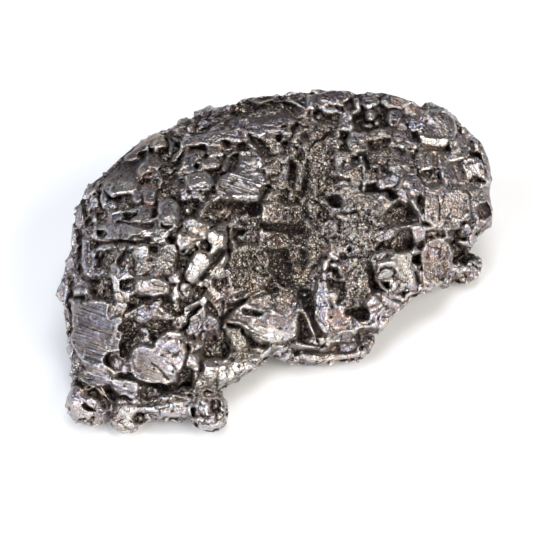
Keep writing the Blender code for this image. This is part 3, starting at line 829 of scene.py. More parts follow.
l 233 244 4 5 -20 0 4
-9 0 0 270 256 16-4 6 10-1 18-6 6-7-2-4-8-4-8
-12 0 0 284 250 5 0 0 12-3 6-2-6
-1 0-.1 291 250 9-2 2 10-8 4-4-4
-6 0 0 276 268 8-2 6-4 2 6-6 2-8 2
-2 .1-.1 292 270 10-4 6 4-2 12-6 8-8-2-2-8
-1 0-.1 308 242 9 1 1 13-4 12-6 2-1-14
-5 0 0 300 250 7 0-1 14-6 2
l 319 267 2.6 3 0 -1 4
-2 0 0 310 280 5-2 3 6-1 8-5-2
# Tall plate and the thin ridge beside the deep hole
7 0 0 322 258 8 0-4 12 2 14 2 8-3 10 2 16-1 14-6 1-6-13-2-16 1-12 3-10 2-12
6 .5 0 314 292 4-6 1 14-2 12-2-8
-12 0 0 300 288 12 0 2 8 1 14-1 8-7-4-4-8-3-8
l 305 294 3 2.6 0 -9 5
4 .5-.2 298 300 3 0 3 8 6 8 3 8 3 10-4 2-3-8-4-10-5-9
-2 0 0 309 316 6 2 5 8 4 10-6 4-4-10
-4 0-.15 298 312 4 0 4 6 2 12 1 12-7 2-4-4 0-14
# Plates in the middle below
4 0 0 254 297 10-7 6-1 5 3 0 13-5 3-8 2-12-4 0-5
5 0 0 276 282 7 5 13 4 2 9-1 7-6 6-9 2-6-2 0-15
6-.2 .4 274 281 3-1 7 6 10 3 0 2-10-2-8-5
5 0-1 243 305.5 11 .5 9 4 0 3.5-7-2-11-3
-6 0 0 244 309 10 1 8 4-6 2-11-2
5 0-.04 232 312 11 2 13 3 8-2 10-1 16 2 7-4 2 14-2 14-13 2-8 0-8-7-12-3-6-4-10-7-10-3
6 0 .1 268 316 16 1 14-3 0 14-8 2-14-4
6 0-.5 250 318 6 1 0 6-5-1
6 0-.5 250 325 12 0 8 3-2 3-12-2
6 0-.3 276 324 12 3 8 1-2 6-10-4-7-2
# Bright forked ridge
7 0-.7 226 319 10 .5 9 4.5 8 7 9 1 7 3 7 7-4 3-9 0-8-4-5-5-4-7-8-5-10-2
1 0 0 253 332.5 9 2.5 7 4-3 2.5-8-3
-9 0 0 228 322 10 3.5 7 4.5 3 7 8 6 6 4-8 0-4-4-4-7-6-7-12-5
4 0-.2 226 324 12 3 8 9 3 9-7 7-10-2-5-10
4-.1 .1 250 347 8-1 7 3 0 5-7-2
4 0-.4 228 352 12-1 12 0 10 4-2 6-14 1-14-1-5-4
8 0-.6 236 360 14-2 12-2 2 3-8 7-10 7-10 6-2-9
7 0-.1 230 362 18-1 4 3-8 6-16 7
6 0-.9 261 356 5-6 6-4 3 3-6 6-7 5
1 0 0 275 344 11-1 1 9-7 5-8 0 1-7
2 0-.3 262 360 12-4 13 0 0 5-13 3-12 3
2 0-.3 284 347 8 0 1 6-7 1
3 0-.7 286 353 6-1-4 6-3 0
# Wavy lower rim and the shelf under it
4 0 0 330 300 11 0 6 12 6 5-2 13-13 1-7 5-3-16
4 .4-.6 345 321 4-1 1 9-3 0
4 0-.25 333 340 9-7 10-2 7 1-8 6-7 3.5
6 0-.9 352 330 8-4 10-1.5 7-5.5 3 2-5 6-11 1.5-10 3
7-.3-.7 377 320 4-8 7-9 4 2-6 6-6 9
5 0-.1 380 319 6-8 6-2 1 7-5 8-8 4-3-2
4 0 0 324 338 4-4 5-1 0 9-3 5-6-1
5 .2-.7 317 338 6-1 1 7-4 2
2 0 0 302 340 8-2 8 6 0 4-10-2
4 0-.8 290 344 10-2 12 4.5 10 2.5 9-3 1 3-9 3.5-12-2-11-3-9 .5
-6 0 0 291 348 7-.5 2 5.5-6 1
-11 0 0 345 308 11-2 12 0 2 6-2 8-8 0-6-6-8 0
1 0-.3 350 300 12 0 0 5-5 4-5-4
5 .2 0 369 306 11-4 6 2-7 9-4 8-8 4 0-9
3 0-.1 355 325 5-5 8 1-1 4-9 3
-3 0 0 332 342 12 0 8-2 8 2-4 8-14 2-11-2
3 0-.2 300 352 18 2 16-2 16 0 12-2 6 2-6 6-22 3-22 1-16-2
# Upper right crown
5 0 .05 306 93 12-1 1 10-5 8-8-1
5 0 0 318 92 12-2 14 0 9 4-1 6-7 4-11-3-14-2
6 0-.6 334 96 4 1 5 6-3 2-4-4
4 0-.8 327 100 9 1 0 3-8-1
4 0 0 316 101 11 0 1 7-8 0
3 0-.2 321 104 15 1 5 3-5 4-8 2-6-4
-5 0 0 324 113 10-1 7-1 0 10-11 0-6-3
4 0 0 341 108 6 2 6 8 2 9-5 4-8-3-2-10
4 0-.9 334 126 9-.5 9 1.5-1 3.5-9-1-7-.5
l 351 123 3 3.5 0 3 4
-3.3 0 0 344 101 9-2 1 9-6 1
5 0-.1 354 97 6-.5 2 6.5-2 5-5-2
5 0-.7 355.5 102 4.5-1 1 7-4 0
3 0-.7 349 109 6-2 5 1 0 4-7 2
5 0 0 362 96 16 0 1 6-7 3-9-1
5 0-.8 364 103.5 14-1 0 3-8 3.5-5-1.5
-3.3 0 0 360 109 12 1 12-4 2 5-14 1-11 0
-5.5 0 0 355 112 9 0 2 8-4 10-7-1-1-11
l 371 114 6 5 0 0 6
l 370.5 117 4 2.6 20 3 4
l 377 121 2.6 3.4 0 1 5
l 368 124.5 5 2.8 0 -3 6
-5 0 0 380 110 7-1 2 19-8 0
5 0 0 381 96 9-2 10 3 12 6 0 4-10 0-12 1-8-4
5 0-.05 388 110 9-1 3 3-2 7-5 7-5-2-2-6
l 402 114 5 4 0 0 5
l 401 121.5 5 3.5 0 -1 4
5 0 0 407 113 13-2 1 16-9 3-5-6
5 0-.9 411 128 8-1 1 4-8 1
-3.9 0 0 411 132 7-.5 3 6.5-4 3-5-3
3 0-.05 394 128 14-1 4 7-2 8-12 0-6-6
6 0 0 349 131 11-2 9 2 1 10-3 6-11 2-7-3-2-8
5 0-.9 349 146 9-1 9-2 0 4-11 3.5-6-.5
3 .4 .2 342 137 6-1 2 8-6-2
5 0-.05 368 131 12-2 10 1 2 6-6 4-16-2
6 0-.7 379 132 6 0 3 6-4 2-4-4
-4.4 0 0 368 139 13 0 1 8-12 1
-3.3 0 0 383 140 8 0-3 7-6 0
4 0-.9 386 144 10 0 8-3 4 3-2 4.5-10-1-8 1.5
-2.8 0 0 388 149 16 0 4 3-8 2-10-2
-4.4 0 0 341 129 7 2-1 9 2 9-9 1-2-10
# Pebbles under the crown
3 0 0 341 152 6 0 4 8-1 8-6 3-7-5-2-5
4 0-.6 340 154 6-.5 0 5.5-5 0
3 .6 0 336 157 4-3 0 12-4-2
p 344 163 2 3 0 2
l 354 152.5 4 3 0 1 4
-3.3 0 0 350 156 8 0-1 9-6-1
3 0-.7 358 155 4.5-1-.5 9-4 0
2 0 0 369 150 11-2 8 1 2 14-10 3-10-4
3 0-.7 369 163 7 0 7 4-3 3-8-4
3 0-.1 391 150 8 0 1 8-3 7-7-2
3 0-.7 390 161.5 7-.5 0 4-6 .5
3 0-.1 401 152 7-2 5 7-1 6-8-2
4 0-.8 406 160 8-1 0 5-6 1
4 0-.7 411 145 6-3 1.5 2-4.5 6
-4 0 0 410 151 8-2 2 6-7 1
# Rough saddle
3 0 0 309 122 13-1 8 7-8 10-12 8-2-12
0 0-.1 320 139 16-7 3 8-1 8-16 2-10 2
-1 0 0 310 152 20-2 6 6-4 12-18 2-6-8
1 .3-.5 308 154 5-3-1 7-3 2
# Upper right shoulder
2 0 0 403 105 9-2 8 5-2 8-10 2-6-4
7 0 0 420 110 20-1 10 5 7 8 2 8-4 7-7 3-18-1-9-3-4-8-1-10
8-.2-.4 423 113 6-1 4 5 3 9-4 0-4-7
6.5 0 0 417 119 9-1 4 5-6 3-6-1
7 0-.85 421 135 11 2.5 16-1.5 3 8-10 3.5-10-2.5-8 3-3-6
5-.2-.8 450 138 4 0 4 7-1 4-6-2
-3.3 0 0 422 147 6-1 12 1.5 11 .5-1 3-14-1-12 1
1 0 0 458 131 10 3 3 6-1 12-4 3-6-8-4-9
3 0-.05 438 151 14-1 10-2 6 6-8 3-8 3-6 7-8-3-3-6
4 0-.9 451 159 8-4 8-1 1 3.5-8 3.5-8 1.5
3 0 0 471 136 8 2 5 8-2 6-8 0-4-6
4 .3-.5 474 140 4 0 3 8-4 1
-3 0 0 471 139 3 1 2 9-4 2
l 481 151 3 2.6 0 2 3
-4 0 0 469 150 11 4-1 3-9-1
5 0-.5 470 157 8 1 4 7 5 13-9-2-5-3-4 8-4-9-3-8
6 0-.8 468 158 10-1 2 4-14 4-3-2
-3.9 0 0 473 174 7 3 7 2-1 3-12-2-4 1
5 0 0 480 140 6 6 5 19 2 15-4 6-2-10-4-14-2-8
3 0-.5 480 181 9 0 0 6-8 1
4 0 0 417 152 9-2 6 2 1 12-7 3-6 1-3-8
4 0-.9 420 168 6-2.5 6-1 0 3.5-8 3-3 0
-5 0 0 418 171 14-2 9-3 1 11-8 3-12-2-7-3
l 436.5 171 3.4 4 0 -7 5
-3.3 0 0 432 151 6 1 0 14-5 1
4 0 0 439 163 7 4 6-5 4 8 2 12-2 8-12 0-3-12
4 .4 0 440 162 5 2 0 14-4 0
5 0-.4 443 178 14-1 1 5-12 2
-2.8 0 0 452 162 10 0 4 10 1 9-9-1-3-10
-1 0 0 458 181 22 0 0 9-12 2-10-2
# Right middle: sponge, facets and the smooth knob
l 337 172 3.6 5 10 -1 6
l 346 170 2.4 3 20 0 5
-2 0 0 320 174 8-2 6 6 1 8-2 7-7 1-6-6
3 0-.7 324 190.5 8 0 1-5.5 3 1-1 7.5-10 1.5
3 0-.6 339 179 7-1 4 3-2 4-7 1
4 0-.7 340 190 8-3 7-1.5 0 3-7 2-4 4.5-3-1
-10 0 0 328 195 9-1 6 3-1 9-8 1-6-5
4 0 0 343 195 7-5 8-3 2 13-3 10-12 2-4-6
5 .2-.4 341 204 8-2 3 4-2 4-6 1.5
4-.2 0 354 166 8-1 1 11-3 10-8 1-2-9
4 .2 0 364 172 7-2-2 10-3 9-5-1 2-10
2 0 0 370 171 8 1-1 9-7 0
-4.4 0 0 366 181 11 0 1 7-12 .5
4 0 0 378 178 10-3 11 2-1 7-6 4.5-12 0-4-4.5
4 0-.7 385 184 12-2-1 5-10 1.5
3 .1-.3 391 166 8 0 1 6 0 6-6-2-3-5
4 0-.2 401 165 11 0 5 3-3 6-10 2-3-6
4 0-.8 403 174 11-2 1 3-11 3-5 1
-4.4 0 0 386 190 10-1 3 7-6 2-5-2
2 0 0 360 190 18 0 2 10-4 10-14 1-3-9
3 0 0 380 191 8 0 5 7-3 6-8 4-4-6
4 0-.9 380 209 8-6 8-5 2 2-8 7-7 6
-9 0 0 397 201 7 2 7 2 6 10 1 7-14 3-14 0-6-4 1-9
-6 0 .2 388 217 12-2 8 6-6 3-12 0
-4 0-.4 409 216 8 1 1 5-7 0
7 0 0 400 186 3-7 8-3 9 2 4 8-4 10-8 1-2 7-8-2-5-8
6 .3-.3 397 189 8-1 5 8-1 6-7-1
6 .2-.8 409 197.5 5-1.5 1 7 5 9 5 7-4 2.5-6-9.5-5-8
5 0-.9 383 226 13-2 15-.5 1 3-14 .5-14 2
3 0-.4 378 231 10-3 14-.5-4 6.5-10 5-8 1.5-5-3.5
-10 0 0 402 229 9-1 3 8 2 8-3 8-37 0 4-9 12-4
4-.1-.3 411 227 9-2.5 5 2.5 1 12-8 2-4-5
5 0-.7 412 227 9-3 0 3-6 6-2.5-2
4 0-.8 414 237 11-2 1 5-9 1.5
l 355 214 3 2.6 0 1 4
l 361.5 212.5 2.6 2.4 0 1 4
l 352 219 2.6 3 20 0 4
3 0-.8 374 221.5 10-2 3 3.5-9 3
4 0 .1 322 235 4-11 8-6 6 2-4 8-8 6
4 .2-.8 335 222 3 2-5 8-8 5-6 2 1-3.5 8-3.5
2 0-.7 326 236 6 2 5 5-2 3-6-5
-6 0 0 322 208 9 1-1 9-7 3
3 0-.5 329 246 9-2 8 4-1 4-13 0
# Right shoulder plate and its crack
6 0 0 424 184 14-2 8 4 12 2 10 8 3 16-3 10-13 6-9 0-16-2-6-12-1-16
6.5 0-.06 442 186 14 0 10 10 3 14-9 8-14 1-4-15
7 0-.4 454 186 7 1 2 5-7 0
6 0-.75 452 217 10 0 8-6 2 7-6 4-6 7-7 0-3-7
0 0 0 461 221 6 1-1 5-4-1
4 .2-.4 461 226 9-4 2 8-4 8-6 0
5 0-.3 424 226 22 1 1 4-17 0-5-1
-3 0 0 429 231 9 0-1 6-7 1
-2 0 0 438 231 8-1 0 6-7 0
5 .4-.3 444 226 3 2 2 10-3 2-2-6
4 0-.6 435 237 10 0 1 4-10 1
# Right end lump, tip and knob
5 0 0 466 188 14-2 9 4 3 12 2 12-2 11-8 3-10-4-3-14-1-12
6 0-.8 470 191 4 1 6 7-2 2-5-4
-3 0 0 478 205 8-4 3 4 2 8-6 5-5-1-3-6
l 485 221 2.6 3.4 20 2 4
4 0-.05 474 224 10 3-6 7-3 12-6 1-1-9 4-8
3 0-.7 459 239 11 1 5 5-2 3-9-3-5-2
-5 0 0 451 230 7-1 3 9-4 8-4-1
-6 0 0 456 245 10 0 7 4 1 11-16 2-3-8
4 0 .1 424 241 13 0 12 1 7 7-2 13-7 13-9 9-10 6-5-3 1-15
3 0-.3 453 262 12 0 2 8-11 1-6-3
4 0-.8 456 267 10-1 0 5-9 .5
3 0 0 466 260 7 0 0 11-7 1
# Slit with a bright core
4 0-.5 411 250 12-1 1 6-10 1
-7 0 0 412 256 10-1 1 8-12 1
4 .2 0 413 263 6 1 0 6-5 0
4 0-.6 419 264 4 0 0 6-4 0
6 .5-.5 418 270 4 0 3 8-1 8-5 5-1-4 2.5-7
# Blue facet and the pearly lump
3 0 .05 370 254 10-4 14-1-2 8-10 4-6 1-6-4
4-.3-.3 369 257 7 1 2 6-2 6-5-6
-9 0 0 367 258 4 4 5 10 4 12 0 5-6-3-5-12
7 .05-.25 378 268 3-6 7-3.5 6-2.5 8-5 9 1 1 10 2 10 5 10-3 9-8 1-8-4-8 3-6-6-7-6-2-6
9 0-.5 378 268 3-6 7-3.5 6 2.5 7 9 7 10 6 9-5 1-7-9-6-9-5-6-7-1
8 0-.6 379 270 5-2.5 7 1.5 3 4-3 4-7 2-5-3
7 .1-.35 393 257 9-5 8 1 1 11 1 16-8-7-7-9
7 .3-.7 401 251 9-1 3 6-4 6-1-6
7 0-.7 378 278 6 3 4 5 6 4-4 2-6-5-5-5
-4 0 0 382 281 7 1 1 5-4 0
6 .3-.3 390 280 6 1 3 6-5 3-4-5
5 0-.1 397 283 8 2 2 5-7 2
4 0 .05 378 289 14 1 10 2 1 8-9-2-8 5-6-1-4-7
4 0-.3 384 303 6-5 7 2 5 3-4 5-7-2-5 4
5 0-.9 401 300 5-7 6-3 7 1-5 3-6 3-4 6
2 0 0 403 304 6-7 4-2-2 4-4 5-6 6
# Granular pocket beside the tall plate
-2 0 0 342 258 14 0 10 1 5 15 1 16-2 8-18 4-8-4 2-14-4-12
3 0-.8 346 250 6 2 9-1 1 3.5-12 1
4 0-.7 328 253 8 0 2 5-9 0
3 0-.5 330 262 7-1 1 5-7 2
3 .2-.5 326 271 6-1 1 8-6 1
-4 0 0 332 267 6-1 4 10-6 4-4-4
-10 0 0 325 279 9 2 11-1 0 10-6 0-8-4
-10 0 0 339 289 7 0-1 10-8 5-1-2
5 0-.2 328 288 6-2 5 4-2 9-3 4-5-2
6 0-.5 329 293 5-1 0 7-4 0
0 0-.5 358 288 8-2 8 4-1 4-9 1-6-1
1 0-.1 344 298 12-2 10 2 0 6-10 2-8-3
"""
FINE_LINES = """
1.3-4 93 187 3-6 5-4
1.3-4 99 205-1-8 2-5
1.6-4 82 199-1 7 3 8
1.6-5 143 188 1 9-2 7
1.5-4 128 202 6 3 9-2 14 0
1.4-4 158 191-2 7 2 6
1.4-4 119 221 11 0 20-3
1.3 4 93 210 2 11
1.4 4 81 213 2 11
1.3 2 119 218 7-6 10-2
1.3-4 105 190 2 6 5 2
1.6 4 160 167 11-4
1.2-3 97 241 15 0
1.5-5 121 253 6-2.5 5 3.5 2 8-3 7
2.2-7 78 236 0 26 2 8 4 7 8 4 7-1
1.5 4 137 276 1.5 8-3.5 8
1.2 3 114.5 283 .5 16
1.4 2 93 299 12 2 8-2
1.2 5 100 290 7-2
1.3-5 70.5 279 0 17
1.2 3 68 279 0 12
1.4-4 75 225 2 15 0 12
1.4-5 160.5 221 2.5 4 5 3.5 4 .5 4-4 3-10
1.5-5 183 219-1 5-4 6-3 7
1.4-4 167 238 4-2 4 4
1.5-5 140 241 12-2 6 3 8 1
1.4-4 228 222-8 1-8 3-3 4
1.2-3 209.5 237 2.5 9-3 6
2.4-1.6 224 250-7 7-5 9-7 9-9 8
1.4-5 177 244 .5 14-.5 8-6 6
1.5-5 184 266 0 8-2 7
1.3-4 182 282 6 0 6 3
1.4-4 140 276 10-1 6 3 7-3
1.6-6 169 283 1 7-3 5
1.5-5 181 284 0 8 3 7
1.6-6 140 296 12-1 8 1
1.4-3 206 296 2 7-1 10
1.3 4 217 318-3 10-4 10
1.6-5 222 300 2 16-2 14
1.8-2 228 250-1 15-1 20
1.2-2 202 311 2 9-6 9
1.5-1.3 78 316 12 3 10 3 13 8
1.3-.9 76 322 16 3 16 7 9 6
1.6 1.2 76 327 16 3 12 6 8 5
1.3-1.8 84 351 10 2 10 4
1.4-2.6 85 356 10 3 11 5
1.2 1.5 70 300 1 12 2 14
1.7 5 125 315 5-3 6-4 7-4
1.2-1.4 134 372 14-2 8 2 14 4
1.2-1.2 132 360 2 8 8 6 14 5
1.3-2.5 167 352 8 2 6-4
1.3-3 160 356 7 1 11-2
1.8-4 133 374 6 5 7 5 5 2
1.4-4 96 386 8 7 10 7
1.4-3 114 390 10 6 7 3
1.4-3 113 400 0 6 3 6
1.4-3 83 385 12 4 9 7
1.6-5 100 400 4 8
1.3 3 155 344 8-8 7-5
1.6-6 186 340 2 10-2 12-1 4
1.3-3 188 352.5 8 0 7-.5
1.8-8 203 350 0 8-2 12
1.6-4 152 364 8 5 4 5 4 6
1.3 2.5 155 381 9 3 8 0
1.5-3.5 213 385 4-4 2-9
1.8-5 205 391 7 2 10-6.5 10-5.5 9-4.5
1.2 2 206 389 7 2 9-6 9-5
1.8-4 186 418 5 4 5 6 5 3
1.3-2.5 208 424 8-2.5 7-3.5
1.6-4.5 170 134.5 14-.5 16 .4 10-3 16-2.4
1.8-7 225 155-3 5-2 6
1.4-6 231 150-4 3-3 5
1.3 3 184 157-2 6-4 11
1.2-2.5 187 155-1.4 7-2.6 10
1.4-4 150 150 8 4 6 4
1.4-4 166 180 12-2 6-2
1.3 3 230 104 14-1.5 12 .5
1.3 2.5 250 114 8-4 10-3
1.3-3 248 117 14-4 14 1 16-1
1.3 2 270 112 12-1 8 4
1.2-1.6 242 124 12-3 10-2
1.2-3 264 127.4 10-.8 12-.6
1.2-1.5 240 128 14 1 10-2
1.2-3 305 126 9-1 8-1
1.6-5 262 155 8 .4 10-.9 13-3.5
1.3-2.5 250 140 7 6 7 7
1.5-5 243 170.3 9 .5 11-.4
1.5-4.5 266 178 6-2.6 6-.8
1.3-4 281 170 0-5 5-1.4
1.5-5 278 187 2 3 6-1
1.6-5 261 200 3-6 4-3
1.5-3 292 208 2 8-2 6
1.4 4 253 236 5-3 4-5
1.3-3 229 228 7-2 8 2
2.6-7 274 272-5 12-11 6-9 6-6 6-11 7-8 9
1.3-4 275.5 290 .5 9-.5 9
1.6-4 262 250 12-.5 14 .5
1.6-4 254 270 8 2.5 6 1.5
1.2-3 250 256 6-1 6-1
1.3-2 242 252 1 10 0 14
1.4-4 290 315 6-6 1-6
1.4 2.5 315 294 0 12 3 14 6 14
1.4-5 316 278 4 3 2-5
1.5-3 266 259 3 9-1 7
1.2-3 256 333 6 3 6 4
1.5-4 262 346.5 6 .5 7-2 9 0
1.6-4 241 376.5 11-7.5 10-9 8-4
1.2-1.6 228 361 12 1 12 0
1.3 3 300 296-1 7 4 7
1.3 2 352 332.5 10-2.5 10-1 8 0
1.4-4 300 349 9 1.5 9 2.3 10-1.8
1.2-2.5 304 341 8 4 8 2
1.5-1.5 302 356 18 1 16-1
1.6-5 352 97 1 8-3 4
1.4-4 379 97 2 7 3 3
1.5-4.5 388 108.6 8-.8 8 .2
1.3 4 383 114 .6 10
1.6-4 347 150.5 5 5.5 6 2
1.6-4 399.5 150 .5 6 4 5
1.6-4 363 152 3 8 2 6
1.8-4 309 149 7-7 8-6 8-7
1.6-3.5 322 156 8-5 7-3
1.2-2 312 160 8 2 8 6
1.5-4 459 130 5 6 2 1
1.4-3 470 141-1 6 3 6
1.3-1.6 479 141 5 9 4 13
1.4 3 418 177 6-3 10 0
1.5-4 456 184 8 1 6-2
1.8-5 334 178 8-2 7-4 3-6
1.5-4 361 167 .5 11-2.5 9
1.8-6 366 189 14 .8 12-.8 6-4 2-5
1.8-5 341 213 7 0 8-1.5
1.3-4 356 221 6-.5 7-.5
1.2-3.5 356 225 8 .5 6-.5
1.3-3 370 214 7 2 8 3
1.4-2.5 338 222 3 10-1 8
1.2-2.5 323 237 6 5 5 5
1.5-3.5 380 168 6 2 4 4
1.4-4 413 176-7 2-5 5
1.1-4 436 195 3 5 2 6-.5 13
1.4-3 446 222 3 6-1 6
1.4-2.5 450 244 6 6-1 10
1.4-4 410 264 6-2 7 0
1.5-4 413 271 4 4 3 7
1.4-4.5 379.5 269 5.5-2.5 7 1.5 3.5 4-2.5 4.5-6 3-5 1
1.4-5 393 276 5 3 5 2
1.3-3.5 396 279 4 7 6 2
1.5-4 378 281 5 4 4 4
1.7-5 335 254.5 10 2.3 12 .2 11-1.5 6-4.5
1.6-4 368 252 8-4 8-4
1.4-2.5 404 303 6-6 10-4 7-3
1.3-1.8 379 290 11 1 10 2
1.4-3 356 276 1 8-3 8
1.4-2.5 362 262 4 8 2 10
"""
PATCHES = {
    Tint.BROWN: """
292 200 26 50 0 .8, 285 262 26 40 0, 305 135 26 26 0 .5, 320 160 14 20 0 .8, 314 225 20 34 0 .6,
243 262 14 30 0 .9, 375 150 30 30 0 .5
""",
    # plum tint and painted shade: these patches darken the faces under them
    Tint.PLUM_SHADE: """
438 264 14 22 12 .5, 250 112 50 16 -8 .6, 340 98 60 12 2 .6, 398 117 12 10 0 .7,
140 165 30 18 -35 .8, 97 328 26 40 0 .9, 292 312 26 14 0 .6, 348 308 18 28 0 .6,
372 335 16 8 0 .5, 484 214 12 34 0 .9, 490 150 8 40 10 .6, 478 140 14 20 20 .7,
138 360 12 14 0 .5, 115 165 40 16 -40 .9, 270 316 30 11 0, 366 97 60 8 2 .9, 462 118 26 10 20,
478 208 14 22 0 .8, 246 116 20 8 -5 .8, 398 118 10 8 0 .9
""",
    Tint.GRANULAR: """
438 264 12 20 12 .4, 300 185 34 56 0 .8, 285 260 28 42 0 .8, 360 225 40 34 0 .6,
447 206 24 22 0 .4, 362 158 34 24 0 .5, 165 260 12 14 0, 217 212 16 11 0, 150 266 12 8 0,
262 108 30 7 -8, 272 145 12 9 0, 312 200 16 70 0, 242 224 16 15 0, 248 270 22 24 0,
264 300 12 9 0 .3, 236 338 11 14 0, 240 356 16 6 0, 303 265 14 30 15, 356 303 9 5 0,
322 145 16 26 20, 380 156 12 10 0, 326 181 10 13 0, 356 236 22 18 0, 356 278 16 22 0,
402 268 8 15 -20 .5
""",
    # painted shade: patches darkened where shadow falls
    Tint.DARK: """
118 172 24 9 -35, 268 107 36 5 -3 .8, 160 180 16 10 0 .4, 288 240 18 46 4 .35, 164 313 16 9 0 .7,
216 312 7 28 -25 .4, 310 98 60 4 2 .4, 112 168 30 7 -42 .8, 172 182 10 8 0 .6, 205 106 40 5 -18 .7,
86 316 26 20 12 .3, 92 345 26 20 12 .15, 266 314 24 8 0 .25, 214 119 46 9 -14, 166 140 10 6 -25 .8,
164 184 12 9 0 .9, 164 315 12 9 0, 138 360 8 10 0 .8, 268 293 10 8 0 .8, 346 314 10 10 0 .8,
482 208 12 22 0 .3, 118 171 24 10 -28 .55, 186 203 13 5 5 .7, 171 305 10 6 10 .8,
158 325 14 6 -10 .7, 130 334 8 8 0 .7, 125 346 6 7 0 .9, 171 170 8 11 0 .6, 262 108 32 6 -8 .7,
292 172 3 12 0 .9, 280 227 22 5 5 .9, 242 205 20 5 8 .9, 282 272 10 13 0 .9, 307 304 8 13 0 .9,
222 352 8 7 0 .9, 359 312 10 5 10, 362 338 13 6 -15 .8, 359 121 5 8 0, 385 118 4 9 0 .9,
428 174 11 5 0 .9, 335 200 7 6 0 .9, 399 212 12 8 0 .6, 398 245 18 7 0 .9, 464 253 9 7 0,
374 275 3 13 -20 .9
""",
    # painted reflection: blue sky tint laid into the colour
    Tint.BLUE: """
92 235 30 80 14 .9, 115 180 34 34 0 .8, 250 102 90 12 -6 .6, 130 405 70 14 0 .4, 88 318 22 24 0,
95 345 22 22 0 .6, 216 258 14 4 -60, 170 143 8 8 0, 372 262 6 8 -20, 108 190 7 7 0,
123 228 6 8 0 .8, 165 209 7 10 0, 94 311 20 10 8 .5, 142 348 16 4 4, 142 360 12 9 0 .5,
72 392 5 9 0 .9, 158 397 9 4 -35 .9, 172 143 6 8 0, 189 164 9 10 10 .7, 322 298 7 36 0 .9,
309 322 3 12 -25 .9, 374 314 6 10 20 .9, 402 134 9 8 0 .5, 430 119 5 8 -30 .8, 478 143 5 8 -20 .8,
442 171 4 10 0 .9, 346 204 6 8 0 .9, 402 193 6 7 0, 409 183 11 7 0 .7, 464 204 6 9 0 .6,
374 261 5 8 -30, 382 254 10 5 -15 .7
""",
    # polish and painted highlight: bright metal laid where highlights fall
    Tint.BRIGHT: """
205 254 24 28 30, 138 246 34 16 0 .8, 168 226 22 10 0 .8, 400 270 22 20 20, 374 268 10 14 20 .6,
250 350 44 16 -12 .9, 200 383 28 12 -20, 148 405 46 9 -5 .8, 125 187 18 6 0 .8, 200 182 16 8 0 .8,
240 178 24 16 0 .4, 436 150 46 20 0 .4, 400 184 12 8 0 .5, 472 185 14 22 0 .6, 195 305 14 8 -30 .8,
240 335 22 12 -20 .8, 262 368 44 10 -16 .8, 360 228 30 12 0 .5, 230 352 26 12 0, 215 250 22 26 30,
216 244 14 18 20, 219 264 14 5 -62, 190 230 20 10 0 .8, 112 250 14 10 0 .7, 190 295 12 10 0 .7,
190 316 12 10 0 .6, 240 337 16 14 0, 256 354 12 9 0, 192 381 14 8 0, 214 383 12 9 -10,
374 270 12 12 0 .8, 398 240 12 20 0 .7, 294 140 10 8 0 .5, 188 162 12 8 0 .6, 112 404 14 8 0 .6,
222 376 20 10 -20, 402 268 16 24 0
""",
    Tint.GOLD: """
303 340 6 5 0, 302 326 5 14 0 .6, 150 168 14 5 -30 .8, 156 145 12 9 0 .9, 125 262 8 7 0 .6,
100 291 10 8 0 .6, 214 214 14 8 0 .8, 188 236 12 10 0 .3, 117 312 9 9 0 .4, 114 366 8 8 0 .5,
86 389 10 5 0 .6, 156 141 12 9 0 .7, 312 252 5 11 0 .9, 301 274 6 12 25 .8, 285 298 10 14 0 .25,
236 342 10 10 0 .5, 330 357 40 5 0 .35, 326 181 8 10 0 .7, 403 268 7 14 -20 .5
""",
    Tint.RUST: """
148 176 8 5 -30 .9, 432 262 14 24 10 .6, 102 217 8 8 0, 150 184 12 4 0, 155 160 7 6 0 .8,
146 204 14 2.5 -4, 128 241 14 3 4, 222 206 12 7 0 .9, 165 194 9 4 0, 158 330 10 5 0 .8,
150 299 12 4 0, 310 140 10 10 0 .6, 310 170 12 30 0 .4, 274 241 12 7 0 .5, 276 256 9 9 0 .6,
297 258 9 22 15 .5, 302 326 4 14 0 .6, 341 318 11 14 0 .45, 322 145 14 22 20 .55,
464 141 7 10 -20 .5, 485 162 5 22 -14 .3, 460 171 7 10 0 .6, 466 186 12 6 0 .5, 431 205 7 20 0 .3,
438 262 12 20 10 .35, 478 200 10 12 0 .25, 483 211 6 8 0, 355 278 14 18 0 .4
""",
    Tint.STRIATED: """
94 335 24 36 -8, 94 374 18 8 30, 152 366 24 14 20 .7, 122 388 16 7 20 .7, 242 183 22 13 35 .6,
268 322 34 18 8 .5
""",
}


def rows_of(table: str) -> list[list[str]]:
    """Split a table into rows of letters and numbers, without its headings."""
    rows = [row for row in table.splitlines() if row and not row.startswith("#")]
    return [re.findall(r"[a-z]|-?[\d.]+", row) for row in rows]


def from_steps(numbers: list[float]) -> tuple[tuple[float, float], ...]:
    """Turn a first point and the steps from point to point into points."""
    return tuple(zip(accumulate(numbers[::2]), accumulate(numbers[1::2])))


def read_forms(table: str) -> list[Plate | Pit | Facet | Lump]:
    """Read plates (s), pits (p), lumps (l) and faces from a table.

    Args:
        table: Rows of a letter and numbers, in the order of the class's own fields. A face's
            row has no letter, and has its level and slopes first, then its corners.

    Returns:
        The forms, in the table's order.
    """
    kinds = {"s": Plate, "p": Pit, "l": Lump}
    forms = []
    for words in rows_of(table):
        kind = kinds.get(words[0])
        numbers = [float(word) for word in words[1 if kind else 0:]]
        forms.append(kind(*numbers) if kind else Facet(from_steps(numbers[3:]), *numbers[:3]))
    return forms


def read_lines(table: str) -> list[Line]:
    """Read grooves and ridges from a table with a width, a level and points in each row."""
    rows = [[float(word) for word in words] for words in rows_of(table)]
    return [Line(from_steps(row[2:]), row[0], row[1]) for row in rows]


